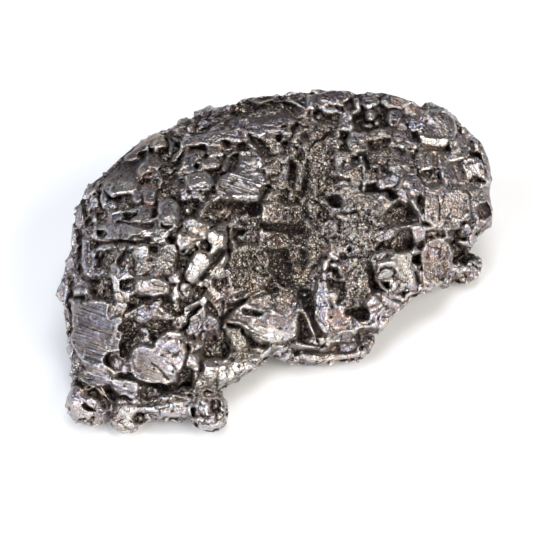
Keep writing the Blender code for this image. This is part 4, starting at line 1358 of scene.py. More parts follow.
def read_patches(tint: Tint) -> list[Patch]:
    """Read one tint's patches, which commas part from each other."""
    texts = PATCHES.get(tint, "").replace("\n", " ").split(",")
    return [Patch(*[float(word) for word in text.split()]) for text in texts if text.strip()]


class ScatterNoise:
    """Repeatable random fields in space, worked out from whole-number cells."""

    @staticmethod
    def scatter(cells: Array, salt: int) -> Array:
        """A random number for each cell, the same at every run.

        Args:
            cells: Whole-number cells, one row of three each.
            salt: Picks one of many sets of numbers.

        Returns:
            Numbers from 0 to 1.
        """
        mixed = cells[:, 0] * 73856093 ^ cells[:, 1] * 19349663 ^ cells[:, 2] * 83492791
        mixed = (mixed ^ (salt * 2654435761)) & 0xFFFFFFFF
        mixed = (mixed ^ (mixed >> 15)) * 2246822519 & 0xFFFFFFFF
        mixed = (mixed ^ (mixed >> 13)) * 3266489917 & 0xFFFFFFFF
        return (mixed ^ (mixed >> 16)) / 0xFFFFFFFF

    @classmethod
    def cloud(cls, places: Array, salt: int) -> Array:
        """Smooth random field.

        Args:
            places: Positions in cells, one row each.
            salt: Picks one of many fields.

        Returns:
            Values from -1 to 1.
        """
        home = np.floor(places).astype(np.int64)
        part = smooth_step(places - home)
        value = np.zeros(len(places))
        for corner in np.ndindex(2, 2, 2):
            weight = np.prod(np.where(corner, part, 1 - part), axis=1)
            value += weight * cls.scatter(home + np.array(corner), salt)
        return value * 2 - 1

    @classmethod
    def broken(
        cls, places: Array, salt: int, crevice: float, tilt: float = 0.0
    ) -> tuple[Array, Array]:
        """Lumps around scattered middles.

        Args:
            places: Positions in cells, one row each.
            salt: Picks one of many fields.
            crevice: Crevice width in cells.
            tilt: How much each lump's face leans its own way.

        Returns:
            Each place's level, about -1 to 1, and its crevice mask, 0 to 1.
        """
        home = np.floor(places).astype(np.int64)
        first = np.full(len(places), 9.0)
        second = np.full(len(places), 9.0)
        level = np.zeros(len(places))
        for near in np.ndindex(3, 3, 3):
            cell = home + np.array(near) - 1
            place = [cls.scatter(cell, salt + axis) for axis in range(3)]
            offset = places - cell - np.stack(place, axis=-1)
            gap = np.linalg.norm(offset, axis=-1)
            own = cls.scatter(cell, salt + 7) * 2 - 1
            if tilt:
                lean = [cls.scatter(cell, salt + 11 + axis) * 2 - 1 for axis in range(3)]
                own = own + tilt * (offset * np.stack(lean, axis=-1)).sum(-1)
            nearer = gap < first
            second = np.where(nearer, first, np.minimum(second, gap))
            level = np.where(nearer, own, level)
            first = np.where(nearer, gap, first)
        mask = np.exp(-((second - first) / crevice) ** 2)
        return level * (1 - mask), mask


@dataclass
class StoneBody:
    """The stone's broad body: an outline, a crowned front, a back wall, an underside and knobs."""

    survey: Survey
    centre_across: float = 278.0
    centre_down: float = 250.0
    skin: float = 1.0
    underside: float = 11.0
    front_fullness: float = 4.0
    back_fullness: float = 2.6
    wall_fullness: float = 12.0
    wall_blend: float = 40.0
    foot_radius: float = 34.0
    foot_height: float = 15.0
    cuts: int = 7
    ball_cuts: int = 5
    plate_unit: float = 100.0
    voxel: float = 0.00026

    def crown(self) -> Callable[[Array, Array], Array]:
        """Bend a thin plate through the crown's heights.

        Returns:
            A function that gives the plate's toward for across and down.
        """
        table = np.array(CROWN, float)
        places = table[:, :2] / self.plate_unit
        values = self.survey.height_to_toward(table[:, 1], table[:, 2])
        count = len(places)

        def bend(gap: Array) -> Array:
            """A thin plate's own curve."""
            return gap ** 2 * np.log(gap + 1e-9)

        gaps = np.linalg.norm(places[:, None] - places[None], axis=-1)
        flat = np.hstack([np.ones((count, 1)), places])
        matrix = np.block([[bend(gaps), flat], [flat.T, np.zeros((3, 3))]])
        weights = np.linalg.solve(matrix, np.concatenate([values, np.zeros(3)]))

        def surface(across: Array, down: Array) -> Array:
            """Find the plate at places on the grid.

            Args:
                across: Steps to the right.
                down: Steps down.

            Returns:
                Toward in steps.
            """
            here = np.stack([across, down], axis=-1) / self.plate_unit
            result = weights[count] + here @ weights[count + 1:]
            for place, weight in zip(places, weights):
                result = result + weight * bend(np.linalg.norm(here - place, axis=-1))
            return result

        return surface

    def points(self, directions: Array) -> Array:
        """World points of the body.

        Args:
            directions: Directions from its middle, one row each, with +Z toward the eye.

        Returns:
            Points in metres, one row each.
        """
        survey = self.survey
        outline = np.array(OUTLINE, float)
        edge_across = outline[:, 0] - self.centre_across
        edge_down = outline[:, 1] - self.centre_down
        edge_angle = np.arctan2(edge_down, edge_across)
        edge_reach = np.hypot(edge_down, edge_across) + self.skin
        edge_toward = survey.height_to_toward(outline[:, 1], outline[:, 2])
        order = np.argsort(edge_angle)

        angle = np.arctan2(-directions[:, 1], directions[:, 0])
        spread = np.hypot(directions[:, 0], directions[:, 1])
        turn = 2 * math.pi
        reach = np.interp(angle, edge_angle[order], edge_reach[order], period=turn)
        rim = np.interp(angle, edge_angle[order], edge_toward[order], period=turn)
        across = self.centre_across + spread * reach * np.cos(angle)
        down = self.centre_down + spread * reach * np.sin(angle)

        front = self.crown()(across, down)
        wall_across, wall_behind = np.array(BACK_WALL, float).T
        wall = survey.behind_to_toward(down, np.interp(across, wall_across, wall_behind))
        under = survey.height_to_toward(down, self.underside)
        gap = np.clip(0.5 + 0.5 * (wall - under) / self.wall_blend, 0, 1)
        back = under * (1 - gap) + wall * gap + self.wall_blend * gap * (1 - gap)

        inside = np.clip(spread, 0, 1)
        fullness = self.back_fullness * (1 - gap) + self.wall_fullness * gap
        bulge_front = np.sqrt(1 - inside ** self.front_fullness)
        bulge_back = np.sqrt(1 - inside ** fullness)
        toward = np.where(
            directions[:, 2] >= 0,
            rim + (front - rim) * bulge_front,
            rim + (np.minimum(back, rim) - rim) * bulge_back,
        )
        return survey.to_world(across, down, toward)

    def add_ball(
        self, shape: bmesh.types.BMesh, place: Array, radii: tuple, turn: float
    ) -> None:
        """Add one stretched ball.

        Args:
            shape: The bmesh to add to.
            place: The ball's middle in metres.
            radii: Radii in steps across, in depth and in height.
            turn: Turn about the depth axis in degrees.
        """
        size = self.survey.step
        made = bmesh.ops.create_icosphere(shape, subdivisions=self.ball_cuts, radius=size)
        cosine = math.cos(math.radians(turn))
        sine = math.sin(math.radians(turn))
        for vert in made["verts"]:
            x = vert.co.x * radii[0]
            z = vert.co.z * radii[2]
            vert.co = (
                place[0] + x * cosine + z * sine,
                place[1] + vert.co.y * radii[1],
                place[2] - x * sine + z * cosine,
            )

    def build(self) -> bpy.types.Object:
        """Build the body with its knobs, fused into one even skin.

        Returns:
            The body's object.
        """
        survey = self.survey
        shape = bmesh.new()
        bmesh.ops.create_icosphere(shape, subdivisions=self.cuts, radius=1.0)
        directions = np.array([vert.co for vert in shape.verts])
        for vert, point in zip(shape.verts, self.points(directions)):
            vert.co = point
        for knob in KNOBS:
            toward = survey.height_to_toward(knob.down, knob.height)
            place = survey.to_world(float(knob.across), float(knob.down), toward)
            self.add_ball(shape, place, (knob.wide, knob.deep, knob.high), knob.turn)
        for x, y in HIDDEN_FEET:
            middle = (x - survey.middle_x, y - survey.middle_y, self.foot_height)
            radii = (self.foot_radius, self.foot_radius, self.foot_height + 1)
            self.add_ball(shape, np.array(middle) * survey.step, radii, 0.0)
        mesh = bpy.data.meshes.new("stone")
        shape.to_mesh(mesh)
        shape.free()
        stone = bpy.data.objects.new("stone", mesh)
        bpy.context.scene.collection.objects.link(stone)
        MeshTool.freeze(stone, "REMESH", {"mode": "VOXEL", "voxel_size": self.voxel})
        return stone


class MeshTool:
    """Reading, writing and finishing a mesh as arrays."""

    @staticmethod
    def read(rows: bpy.types.bpy_prop_collection, name: str, width: int, kind: type) -> Array:
        """Read one field of a mesh's points or edges.

        Args:
            rows: The points, normals or edges.
            name: The field's name.
            width: How many numbers each has.
            kind: The numbers' type.

        Returns:
            The numbers, one row each.
        """
        values = np.empty(len(rows) * width, kind)
        rows.foreach_get(name, values)
        return values.reshape(-1, width)

    @classmethod
    def points(cls, mesh: bpy.types.Mesh) -> Array:
        """A mesh's points, one row each."""
        return cls.read(mesh.vertices, "co", 3, float)

    @classmethod
    def normals(cls, mesh: bpy.types.Mesh) -> Array:
        """A mesh's point normals, one row each."""
        return cls.read(mesh.vertex_normals, "vector", 3, float)

    @classmethod
    def edges(cls, mesh: bpy.types.Mesh) -> Array:
        """A mesh's edges as rows of two point numbers."""
        return cls.read(mesh.edges, "vertices", 2, np.int32)

    @staticmethod
    def set_points(mesh: bpy.types.Mesh, points: Array) -> None:
        """Write points back to a mesh."""
        mesh.vertices.foreach_set("co", points.ravel())
        mesh.update()

    @staticmethod
    def freeze(thing: bpy.types.Object, kind: str, settings: dict) -> None:
        """Bake one modifier's result into the mesh.

        Args:
            thing: The object.
            kind: The modifier's type.
            settings: Values for its fields.
        """
        modifier = thing.modifiers.new(kind.title(), kind)
        for name, value in settings.items():
            setattr(modifier, name, value)
        view = bpy.context.evaluated_depsgraph_get()
        mesh = bpy.data.meshes.new_from_object(thing.evaluated_get(view))
        thing.modifiers.clear()
        old = thing.data
        thing.data = mesh
        bpy.data.meshes.remove(old)

    @staticmethod
    def spread(values: Array, edges: Array, rounds: int) -> Array:
        """Average values with their neighbours' along the edges.

        Args:
            values: One row for each point.
            edges: Rows of two point numbers.
            rounds: How many times to average.

        Returns:
            The averaged values.
        """
        count = len(values)
        ends = np.concatenate([edges[:, 0], edges[:, 1]])
        others = np.concatenate([edges[:, 1], edges[:, 0]])
        links = np.maximum(np.bincount(ends, minlength=count), 1)
        result = values.reshape(count, -1).copy()
        for _ in range(rounds):
            for column in range(result.shape[1]):
                total = np.bincount(ends, weights=result[others, column], minlength=count)
                result[:, column] = 0.5 * (result[:, column] + total / links)
        return result.reshape(values.shape)

    @staticmethod
    def add_mask(mesh: bpy.types.Mesh, name: str, values: Array) -> None:
        """Store one number for each point under a name."""
        mask = mesh.attributes.new(name, "FLOAT", "POINT")
        mask.data.foreach_set("value", values.astype(np.float32))


@dataclass
class StoneRelief:
    """The plates, pits, ridges and broken lumps over the body."""

    survey: Survey
    relief: float = 1.25
    fine_share: float = 0.66
    deepest: float = 6.0
    dimple: float = 5.0
    dimple_share: float = 0.6
    lump_soft: float = 0.8
    line_share: float = 0.38
    line_width: float = 0.75
    crack_level: float = 4.0
    lean_share: float = 0.55
    round_width: float = 3.0
    round_share: float = 0.8
    widest_round: float = 7.0
    round_slope: float = 0.36
    lip_slope: float = 0.28
    steepest: float = 0.8
    edge: float = 1.6
    pit_level: float = -3.5
    wander: tuple = ((9.0, 1.2), (4.0, 0.6))
    corner: float = 2.4
    pit_crumbs: float = 0.8
    face_crumbs: float = 0.14
    granular_crumbs: float = 0.5
    front_share: float = 0.50
    rim_share: float = 0.10
    rim_margin: float = 0.05
    side_share: float = 1.5
    wear_rounds: int = 5
    wear_keep: float = 0.6
    broad_rounds: int = 40
    broad_gain: float = 1.5
    sharp_gain: float = 1.3
    seed: int = 11
    lumps: list = field(default_factory=lambda: [(52.0, 8.0, 4.0), (26.0, 5.0, 3.0)])
    crevice: float = 0.12
    crumbs: list = field(default_factory=lambda: [(15.0, 1.8, 1.6, 0.10), (7.0, 0.7, 0.8, 0.15)])
    grit: list = field(default_factory=lambda: [(5.5, 0.7), (2.8, 0.35)])
    front_turn: float = 0.35
    rim_crumbs: float = 0.35
    feet_cut: float = 0.00017
    triangles: int = 196000
    front_thinning: float = 0.3
    thinning_levels: int = 4

    @staticmethod
    def distance(across: Array, down: Array, points: Sequence) -> Array:
        """Distance of each place to a broken line.

        Args:
            across: Steps to the right.
            down: Steps down.
            points: The line's points, as pairs of across and down.

        Returns:
            Distances in steps.
        """
        best = np.full(across.shape, 1e9)
        for (a0, d0), (a1, d1) in zip(points, points[1:]):
            run_a = a1 - a0
            run_d = d1 - d0
            share = ((across - a0) * run_a + (down - d0) * run_d) / (run_a ** 2 + run_d ** 2)
            share = np.clip(share, 0, 1)
            gap = np.hypot(across - a0 - share * run_a, down - d0 - share * run_d)
            best = np.minimum(best, gap)
        return best

    @classmethod
    def inside(cls, across: Array, down: Array, corners: Array) -> Array:
        """How far each place is inside a closed outline.

        Args:
            across: Steps to the right.
            down: Steps down.
            corners: The outline's corners, one row each.

        Returns:
            Distances to the outline in steps, positive inside it.
        """
        ring = [tuple(corner) for corner in corners]
        ring.append(ring[0])
        within = np.zeros(across.shape, bool)
        for (a0, d0), (a1, d1) in zip(ring, ring[1:]):
            if d0 != d1:
                crosses = (d0 > down) != (d1 > down)
                within ^= crosses & (across < (a1 - a0) * (down - d0) / (d1 - d0) + a0)
        gap = cls.distance(across, down, ring)
        return np.where(within, gap, -gap)

    def bend(self, across: Array, down: Array) -> tuple[Array, Array]:
        """Shift places a little, so that no edge on the stone runs straight.

        Args:
            across: Steps to the right.
            down: Steps down.

        Returns:
            The shifted across and down.
        """
        flat = np.stack([across, down, np.zeros(len(across))], axis=-1)
        for index, (size, reach) in enumerate(self.wander):
            across = across + reach * ScatterNoise.cloud(flat / size, 401 + 2 * index)
            down = down + reach * ScatterNoise.cloud(flat / size, 402 + 2 * index)
        return across, down

    def sink(self, level: float) -> float:
        """A pit's level, eased off so that no pit is deeper than the deepest."""
        return -self.deepest * (1 - math.exp(level / self.deepest))

    @staticmethod
    def near(
        form: Plate | Pit | Facet | Lump, across: Array, down: Array
    ) -> Array:
        """Pick the places that a form can reach.

        Args:
            form: The form.
            across: Steps to the right.
            down: Steps down.

        Returns:
            True for each place that is near enough.
        """
        if isinstance(form, Facet):
            low = np.min(form.corners, axis=0) - 2 * form.soft
            high = np.max(form.corners, axis=0) + 2 * form.soft
        else:
            reach = 1.3 * max(form.wide, form.high) + 3
            low = (form.across - reach, form.down - reach)
            high = (form.across + reach, form.down + reach)
        return (across > low[0]) & (across < high[0]) & (down > low[1]) & (down < high[1])

    def facet(
        self, form: Facet, across: Array, down: Array, rise: Array
    ) -> tuple[Array, Array]:
        """Work out a facet, with its edges rounded off unless it is a pit or a steep lip.

        Args:
            form: The facet.
            across: Steps to the right.
            down: Steps down.
            rise: The relief so far, in steps.

        Returns:
            Its face in steps, and its cover from 0 to 1.
        """
        corners = np.array(form.corners)
        gap = self.inside(across, down, corners)
        middle = (corners.min(0) + corners.max(0)) / 2
        lean = form.slope_across * (across - middle[0]) + form.slope_down * (down - middle[1])
        is_pit = form.level < self.pit_level
        face = self.sink(form.level) if is_pit else self.fine_share * form.level
        face = face + self.lean_share * lean
        steep = max(abs(form.slope_across), abs(form.slope_down)) >= self.lip_slope
        if not is_pit and not steep:
            width = min(max(self.round_width, self.round_share * gap.max()), self.widest_round)
            drop = self.round_slope * width * np.clip(1 - gap / width, 0, 1) ** 2
            face = np.maximum(face - drop, np.minimum(face, rise))
        return face, smooth_step(0.5 + gap / (2 * form.soft))

    def stamp(
        self, form: Plate | Pit | Lump, across: Array, down: Array, rise: Array
    ) -> tuple[Array, Array]:
        """Work out a plate, a pit or a lump.

        Args:
            form: The form.
            across: Steps to the right.
            down: Steps down.
            rise: The relief so far, in steps.

        Returns:
            Its face in steps, and its cover from 0 to 1.
        """
        x, y = form.over(across, down)
        if isinstance(form, Lump):
            cap = np.sqrt(np.clip(1 - x * x - y * y, 0, 1))
            face = self.fine_share * (form.base + form.swell * cap)
            return face, (cap > 0) * smooth_step((face - rise) / self.lump_soft + 0.5)
        reach = (np.abs(x) ** self.corner + np.abs(y) ** self.corner) ** (1 / self.corner)
        edge = self.edge / min(form.wide, form.high)
        cover = smooth_step((1 + edge - reach) / (2 * edge))
        if isinstance(form, Plate):
            return form.level + form.lean_across * x + form.lean_down * y, cover
        if max(form.wide, form.high) < self.dimple:
            return rise - self.dimple_share * form.depth, cover
        return np.full(cover.shape, self.sink(-form.depth)), cover

    def front(
        self, across: Array, down: Array, crumbs: Array
    ) -> tuple[Array, dict[str, Array]]:
        """The front's relief.

        Args:
            across: Steps to the right.
            down: Steps down.
            crumbs: Broken relief under the forms, in steps.

        Returns:
            The rise in steps, and masks of worn faces, pits' floors and cracks.
        """
        rise = crumbs.copy()
        masks = {name: np.zeros(across.shape) for name in ("worn", "sunk", "crack")}
        coarse = StoneMasks.patches(across, down, Tint.GRANULAR)
        for form in read_forms(BROAD + FINE):
            near = self.near(form, across, down)
            if isinstance(form, Facet):
                face, cover = self.facet(form, across[near], down[near], rise[near])
                is_pit = form.level < self.pit_level
            else:
                face, cover = self.stamp(form, across[near], down[near], rise[near])
                is_pit = isinstance(form, Pit)
            keep = self.face_crumbs + self.granular_crumbs * coarse[near]
            face = face + (self.pit_crumbs if is_pit else keep) * crumbs[near]
            for name, value in (("worn", not is_pit), ("sunk", is_pit), ("crack", False)):
                masks[name][near] = masks[name][near] * (1 - cover) + value * cover
            rise[near] = rise[near] * (1 - cover) + face * cover
        for line in read_lines(LINES + FINE_LINES):
            gap = self.distance(across, down, line.points) / (self.line_width * line.width)
            profile = np.exp(-gap ** 2)
            rise = rise + self.line_share * line.level * profile
            if line.level < 0:
                cut = profile * min(1.0, -line.level / self.crack_level)
                masks["crack"] = np.maximum(masks["crack"], cut)
        return rise * self.relief, masks

    def own_places(self, points: Array, size: float) -> Array:
        """Positions in cells of a size in steps, which don't move with the part's origin."""
        origin = (self.survey.middle_x, self.survey.middle_y, 0)
        return (points / self.survey.step + origin) / size

    def crumble(self, points: Array) -> Array:
        """Small broken relief in space.

        Args:
            points: World points in metres, one row each.

        Returns:
            The relief at each point, in steps.
        """
        total = np.zeros(len(points))
        for index, (size, swell, depth, width) in enumerate(self.crumbs):
            places = self.own_places(points, size)
            bend = np.stack(
                [ScatterNoise.cloud(places * 1.3, 300 + 10 * index + axis) for axis in range(3)],
                axis=-1,
            )
            level, crevice = ScatterNoise.broken(
                places + 0.35 * bend, self.seed + 200 + 20 * index, width, 1.4
            )
            total += level * swell - crevice * depth
        for index, (size, swell) in enumerate(self.grit):
            total += swell * ScatterNoise.cloud(self.own_places(points, size), 500 + index)
        return total

    def raise_on(self, stone: bpy.types.Object) -> Array:
        """Raise the relief on the body.

        Args:
            stone: The body's object.

        Returns:
            Mask of the front, 0 to 1.
        """
        survey = self.survey
        points = MeshTool.points(stone.data)
        normals = MeshTool.normals(stone.data)
        facing = survey.facing(normals)
        across, down, toward = survey.to_grid(points)
        front = smooth_step(facing / self.front_turn)
        crumbs = self.crumble(points)
        across_bent, down_bent = self.bend(across, down)
        rim_soft = (1 - self.rim_crumbs) * smooth_step((facing - 0.1) / 0.3)
        rise, masks = self.front(across_bent, down_bent, crumbs * (self.rim_crumbs + rim_soft))

        # wear takes down what stands out, and the broad forms are drawn out again after it
        edges = MeshTool.edges(stone.data)
        soft = MeshTool.spread(rise, edges, self.wear_rounds)
        rise = np.where(rise > soft, soft + self.wear_keep * (rise - soft), rise)
        broad = MeshTool.spread(rise, edges, self.broad_rounds)
        rise = self.broad_gain * broad + self.sharp_gain * (rise - broad)
        moved = toward + rise / np.maximum(facing, self.steepest) * front
        points = survey.to_world(across, down, moved)

        # lumps swell the sides and the back most, and the worn faces of the front least
        bare = self.front_share - self.rim_share
        bare = self.rim_share + bare * smooth_step((facing - 0.2) / 0.3) * (1 - masks["worn"])
        share = bare + (1 - bare) * smooth_step(-(facing + self.rim_margin) / 0.4)
        for index, (size, swell, depth) in enumerate(self.lumps):
            places = self.own_places(points, size)
            level, mask = ScatterNoise.broken(places, self.seed + 20 * index, self.crevice)
            height = (level * swell - mask * depth) * share * survey.step
            points = points + normals * height[:, None]
        side = (1 - front) * crumbs * self.side_share * survey.step
        points = points + normals * side[:, None]
        points[:, 2] = np.maximum(points[:, 2] - self.feet_cut, 0.0)
        MeshTool.set_points(stone.data, points)
        return front

    def thin(self, stone: bpy.types.Object, front: Array) -> None:
        """Thin the mesh to its number of triangles, the back most and the front least.

        Args:
            stone: The object.
            front: Mask of the front, 0 to 1.
        """
        group = stone.vertex_groups.new(name="thinned")
        level = np.round((1 - front) * self.thinning_levels).astype(int)
        for value in range(self.thinning_levels + 1):
            share = (1 - self.front_thinning) * value / self.thinning_levels
            chosen = np.nonzero(level == value)[0].tolist()
            group.add(chosen, self.front_thinning + share, "REPLACE")
        count = sum(len(face.vertices) - 2 for face in stone.data.polygons)
        log.info("thinning from %d triangles", count)
        if count > self.triangles:
            settings = {"ratio": self.triangles / count, "vertex_group": group.name}
            settings["vertex_group_factor"] = 1.0
            MeshTool.freeze(stone, "DECIMATE", settings)
        stone.vertex_groups.clear()


@dataclass
class StoneMasks:
    """The numbers that the finish reads at each point of the stone."""

    survey: Survey
    relief: StoneRelief
    near_rounds: int = 5
    far_rounds: int = 38

    def hollow(self, mesh: bpy.types.Mesh) -> tuple[Array, Array]:
        """Measure how deep each point lies below its surroundings.

        Args:
            mesh: The stone's mesh.

        Returns:
            Depths below what is near and what is far, in steps.
        """
        points = MeshTool.points(mesh)
        normals = MeshTool.normals(mesh)
        edges = MeshTool.edges(mesh)
        near = MeshTool.spread(points, edges, self.near_rounds)
        far = MeshTool.spread(near, edges, self.far_rounds)
        normals = MeshTool.spread(normals, edges, 2)
        near_depth = ((near - points) * normals).sum(-1) / self.survey.step
        far_depth = ((far - points) * normals).sum(-1) / self.survey.step
        return MeshTool.spread(near_depth, edges, 1), MeshTool.spread(far_depth, edges, 3)

    @staticmethod
    def patches(across: Array, down: Array, tint: Tint) -> Array:
        """Find the strongest patch of one tint at each place.

        Args:
            across: Steps to the right.
            down: Steps down.
            tint: The tint.

        Returns:
            Its strength, 0 to 1.
        """
        best = np.zeros(across.shape)
        for patch in read_patches(tint):
            reach = np.hypot(*patch.over(across, down))
            best = np.maximum(best, patch.amount * smooth_step((1.3 - reach) / 0.6))
        return best

    def store(self, mesh: bpy.types.Mesh) -> None:
        """Work the masks out and store them on the mesh.

        Args:
            mesh: The stone's mesh.
        """
        points = MeshTool.points(mesh)
        across, down, _ = self.survey.to_grid(points)
        seen = smooth_step((self.survey.facing(MeshTool.normals(mesh)) + 0.2) / 0.3)
        near, far = self.hollow(mesh)
        across, down = self.relief.bend(across, down)
        _, masks = self.relief.front(across, down, np.zeros(len(points)))
        MeshTool.add_mask(mesh, "near", near)
        MeshTool.add_mask(mesh, "far", far)
        for name, values in masks.items():
            MeshTool.add_mask(mesh, name, values * seen)
        # the tints' patches, painted shade, painted highlight and painted reflection among them
        for tint in Tint:
            MeshTool.add_mask(mesh, tint.value, self.patches(across, down, tint) * seen)


class NodeBench:
    """Short-hands for laying out shader nodes in one tree."""

    def __init__(self, tree: bpy.types.NodeTree) -> None:
        """Keep the tree that the nodes go in."""
        self.tree = tree

    def plug(self, socket: Socket, value: object) -> None:
        """Link a socket to an output, or set its plain value.

        Args:
            socket: The socket.
            value: Another node's output, or a plain value.
        """
        if isinstance(value, Socket):
            self.tree.links.new(value, socket)
        else:
            socket.default_value = value

    def node(self, kind: str, inputs: dict, **settings: object) -> bpy.types.Node:
        """Add one node.

        Args:
            kind: The node's type.
            inputs: Outputs or plain values for its sockets, by name or number.
            **settings: Values for its own fields.

        Returns:
            The node.
        """
        node = self.tree.nodes.new(kind)
        for name, value in settings.items():
            setattr(node, name, value)
        for name, value in inputs.items():
            self.plug(node.inputs[name], value)
        return node

    def math(self, kind: str, first: object, second: object) -> Socket:
        """One Math node's result."""
        return self.node("ShaderNodeMath", {0: first, 1: second}, operation=kind).outputs[0]

    def times(self, first: object, second: object) -> Socket:
        """Two values multiplied."""
        return self.math("MULTIPLY", first, second)

    def plus(self, first: object, second: object) -> Socket:
        """Two values added."""
        return self.math("ADD", first, second)

    def minus(self, first: object, second: object) -> Socket:
        """The second value taken from the first."""
        return self.math("SUBTRACT", first, second)

    def most(self, first: object, second: object) -> Socket:
        """The larger of two values."""
        return self.math("MAXIMUM", first, second)

    def ease(self, value: object, low: float, high: float) -> Socket:
        """Ease from 0 to 1 as a value goes from low to high."""
        inputs = {"Value": value, "From Min": low, "From Max": high}
        return self.node("ShaderNodeMapRange", inputs, interpolation_type="SMOOTHSTEP").outputs[0]

    def scale(self, value: object, low: float, high: float) -> Socket:
        """Spread a mask of 0 to 1 between two values."""
        inputs = {"Value": value, "To Min": low, "To Max": high}
        return self.node("ShaderNodeMapRange", inputs).outputs[0]

    def blend(self, share: object, first: object, second: object) -> Socket:
        """Mix two colours by a share."""
        inputs = {0: share, 6: first, 7: second}
        return self.node("ShaderNodeMix", inputs, data_type="RGBA").outputs[2]

    def mask(self, name: str) -> Socket:
        """A stored number of the surface."""
        return self.node("ShaderNodeAttribute", {}, attribute_name=name).outputs["Fac"]

    def place(self) -> Socket:
        """The piece's own coordinates."""
        return self.node("ShaderNodeTexCoord", {}).outputs["Object"]

    def noise(self, place: object, size: float, detail: float, rough: float) -> Socket:
        """Cloudy noise with lumps of a size in metres."""
        inputs = {"Vector": place, "Scale": 1 / size, "Detail": detail, "Roughness": rough}
        return self.node("ShaderNodeTexNoise", inputs).outputs["Fac"]

    def stretch(self, place: object, along: float, fall: float) -> Socket:
        """Draw coordinates out along a line that falls to the right, seen from the front.

        Args:
            place: The coordinates.
            along: Their scale along the line and toward the eye.
            fall: How far the line falls, in degrees.

        Returns:
            The drawn out coordinates.
        """
        toward = Vector((0.0, -1.0, 1.0)).normalized()
        level = Vector((math.cos(math.radians(fall)), 0.0, 0.0))
        run = level - math.sin(math.radians(fall)) * Vector((0.0, 1.0, 1.0)).normalized()
        axes = Matrix((run, toward.cross(run), toward))
        turned = self.node("ShaderNodeMapping", {"Vector": place, "Rotation": axes.to_euler()})
        inputs = {"Vector": turned.outputs["Vector"], "Scale": (along, 1.0, along)}
        return self.node("ShaderNodeMapping", inputs).outputs["Vector"]

    def cells(self, place: object, size: float) -> tuple[Socket, Socket]:
        """Lay out granules.

        Args:
            place: Coordinates.
            size: The granules' size in metres.

        Returns:
            The distance from each one's middle, and its random pick from 0 to 1.
        """
        node = self.node("ShaderNodeTexVoronoi", {"Vector": place, "Scale": 1 / size})
        split = self.node("ShaderNodeSeparateColor", {0: node.outputs["Color"]})
        return node.outputs["Distance"], split.outputs[0]

    def fissures(self, place: object, size: float) -> Socket:
        """Lay broken hairline fissures between grains.

        Args:
            place: Coordinates.
            size: The grains' size in metres.

        Returns:
            Mask of the fissures, 0 to 1.
        """
        warp = self.node("ShaderNodeTexNoise", {"Vector": place, "Scale": 1.2 / size})
        inputs = {0: warp.outputs["Color"], 1: (size, size, size), 2: place}
        shift = self.node("ShaderNodeVectorMath", inputs, operation="MULTIPLY_ADD")
        inputs = {"Vector": shift.outputs["Vector"], "Scale": 1 / size}
        grains = self.node("ShaderNodeTexVoronoi", inputs, feature="DISTANCE_TO_EDGE")
        line = self.ease(grains.outputs["Distance"], 0.075, 0.025)
        part = self.ease(self.noise(place, 1.5 * size, 2.0, 0.6), 0.50, 0.58)
        return self.times(line, part)


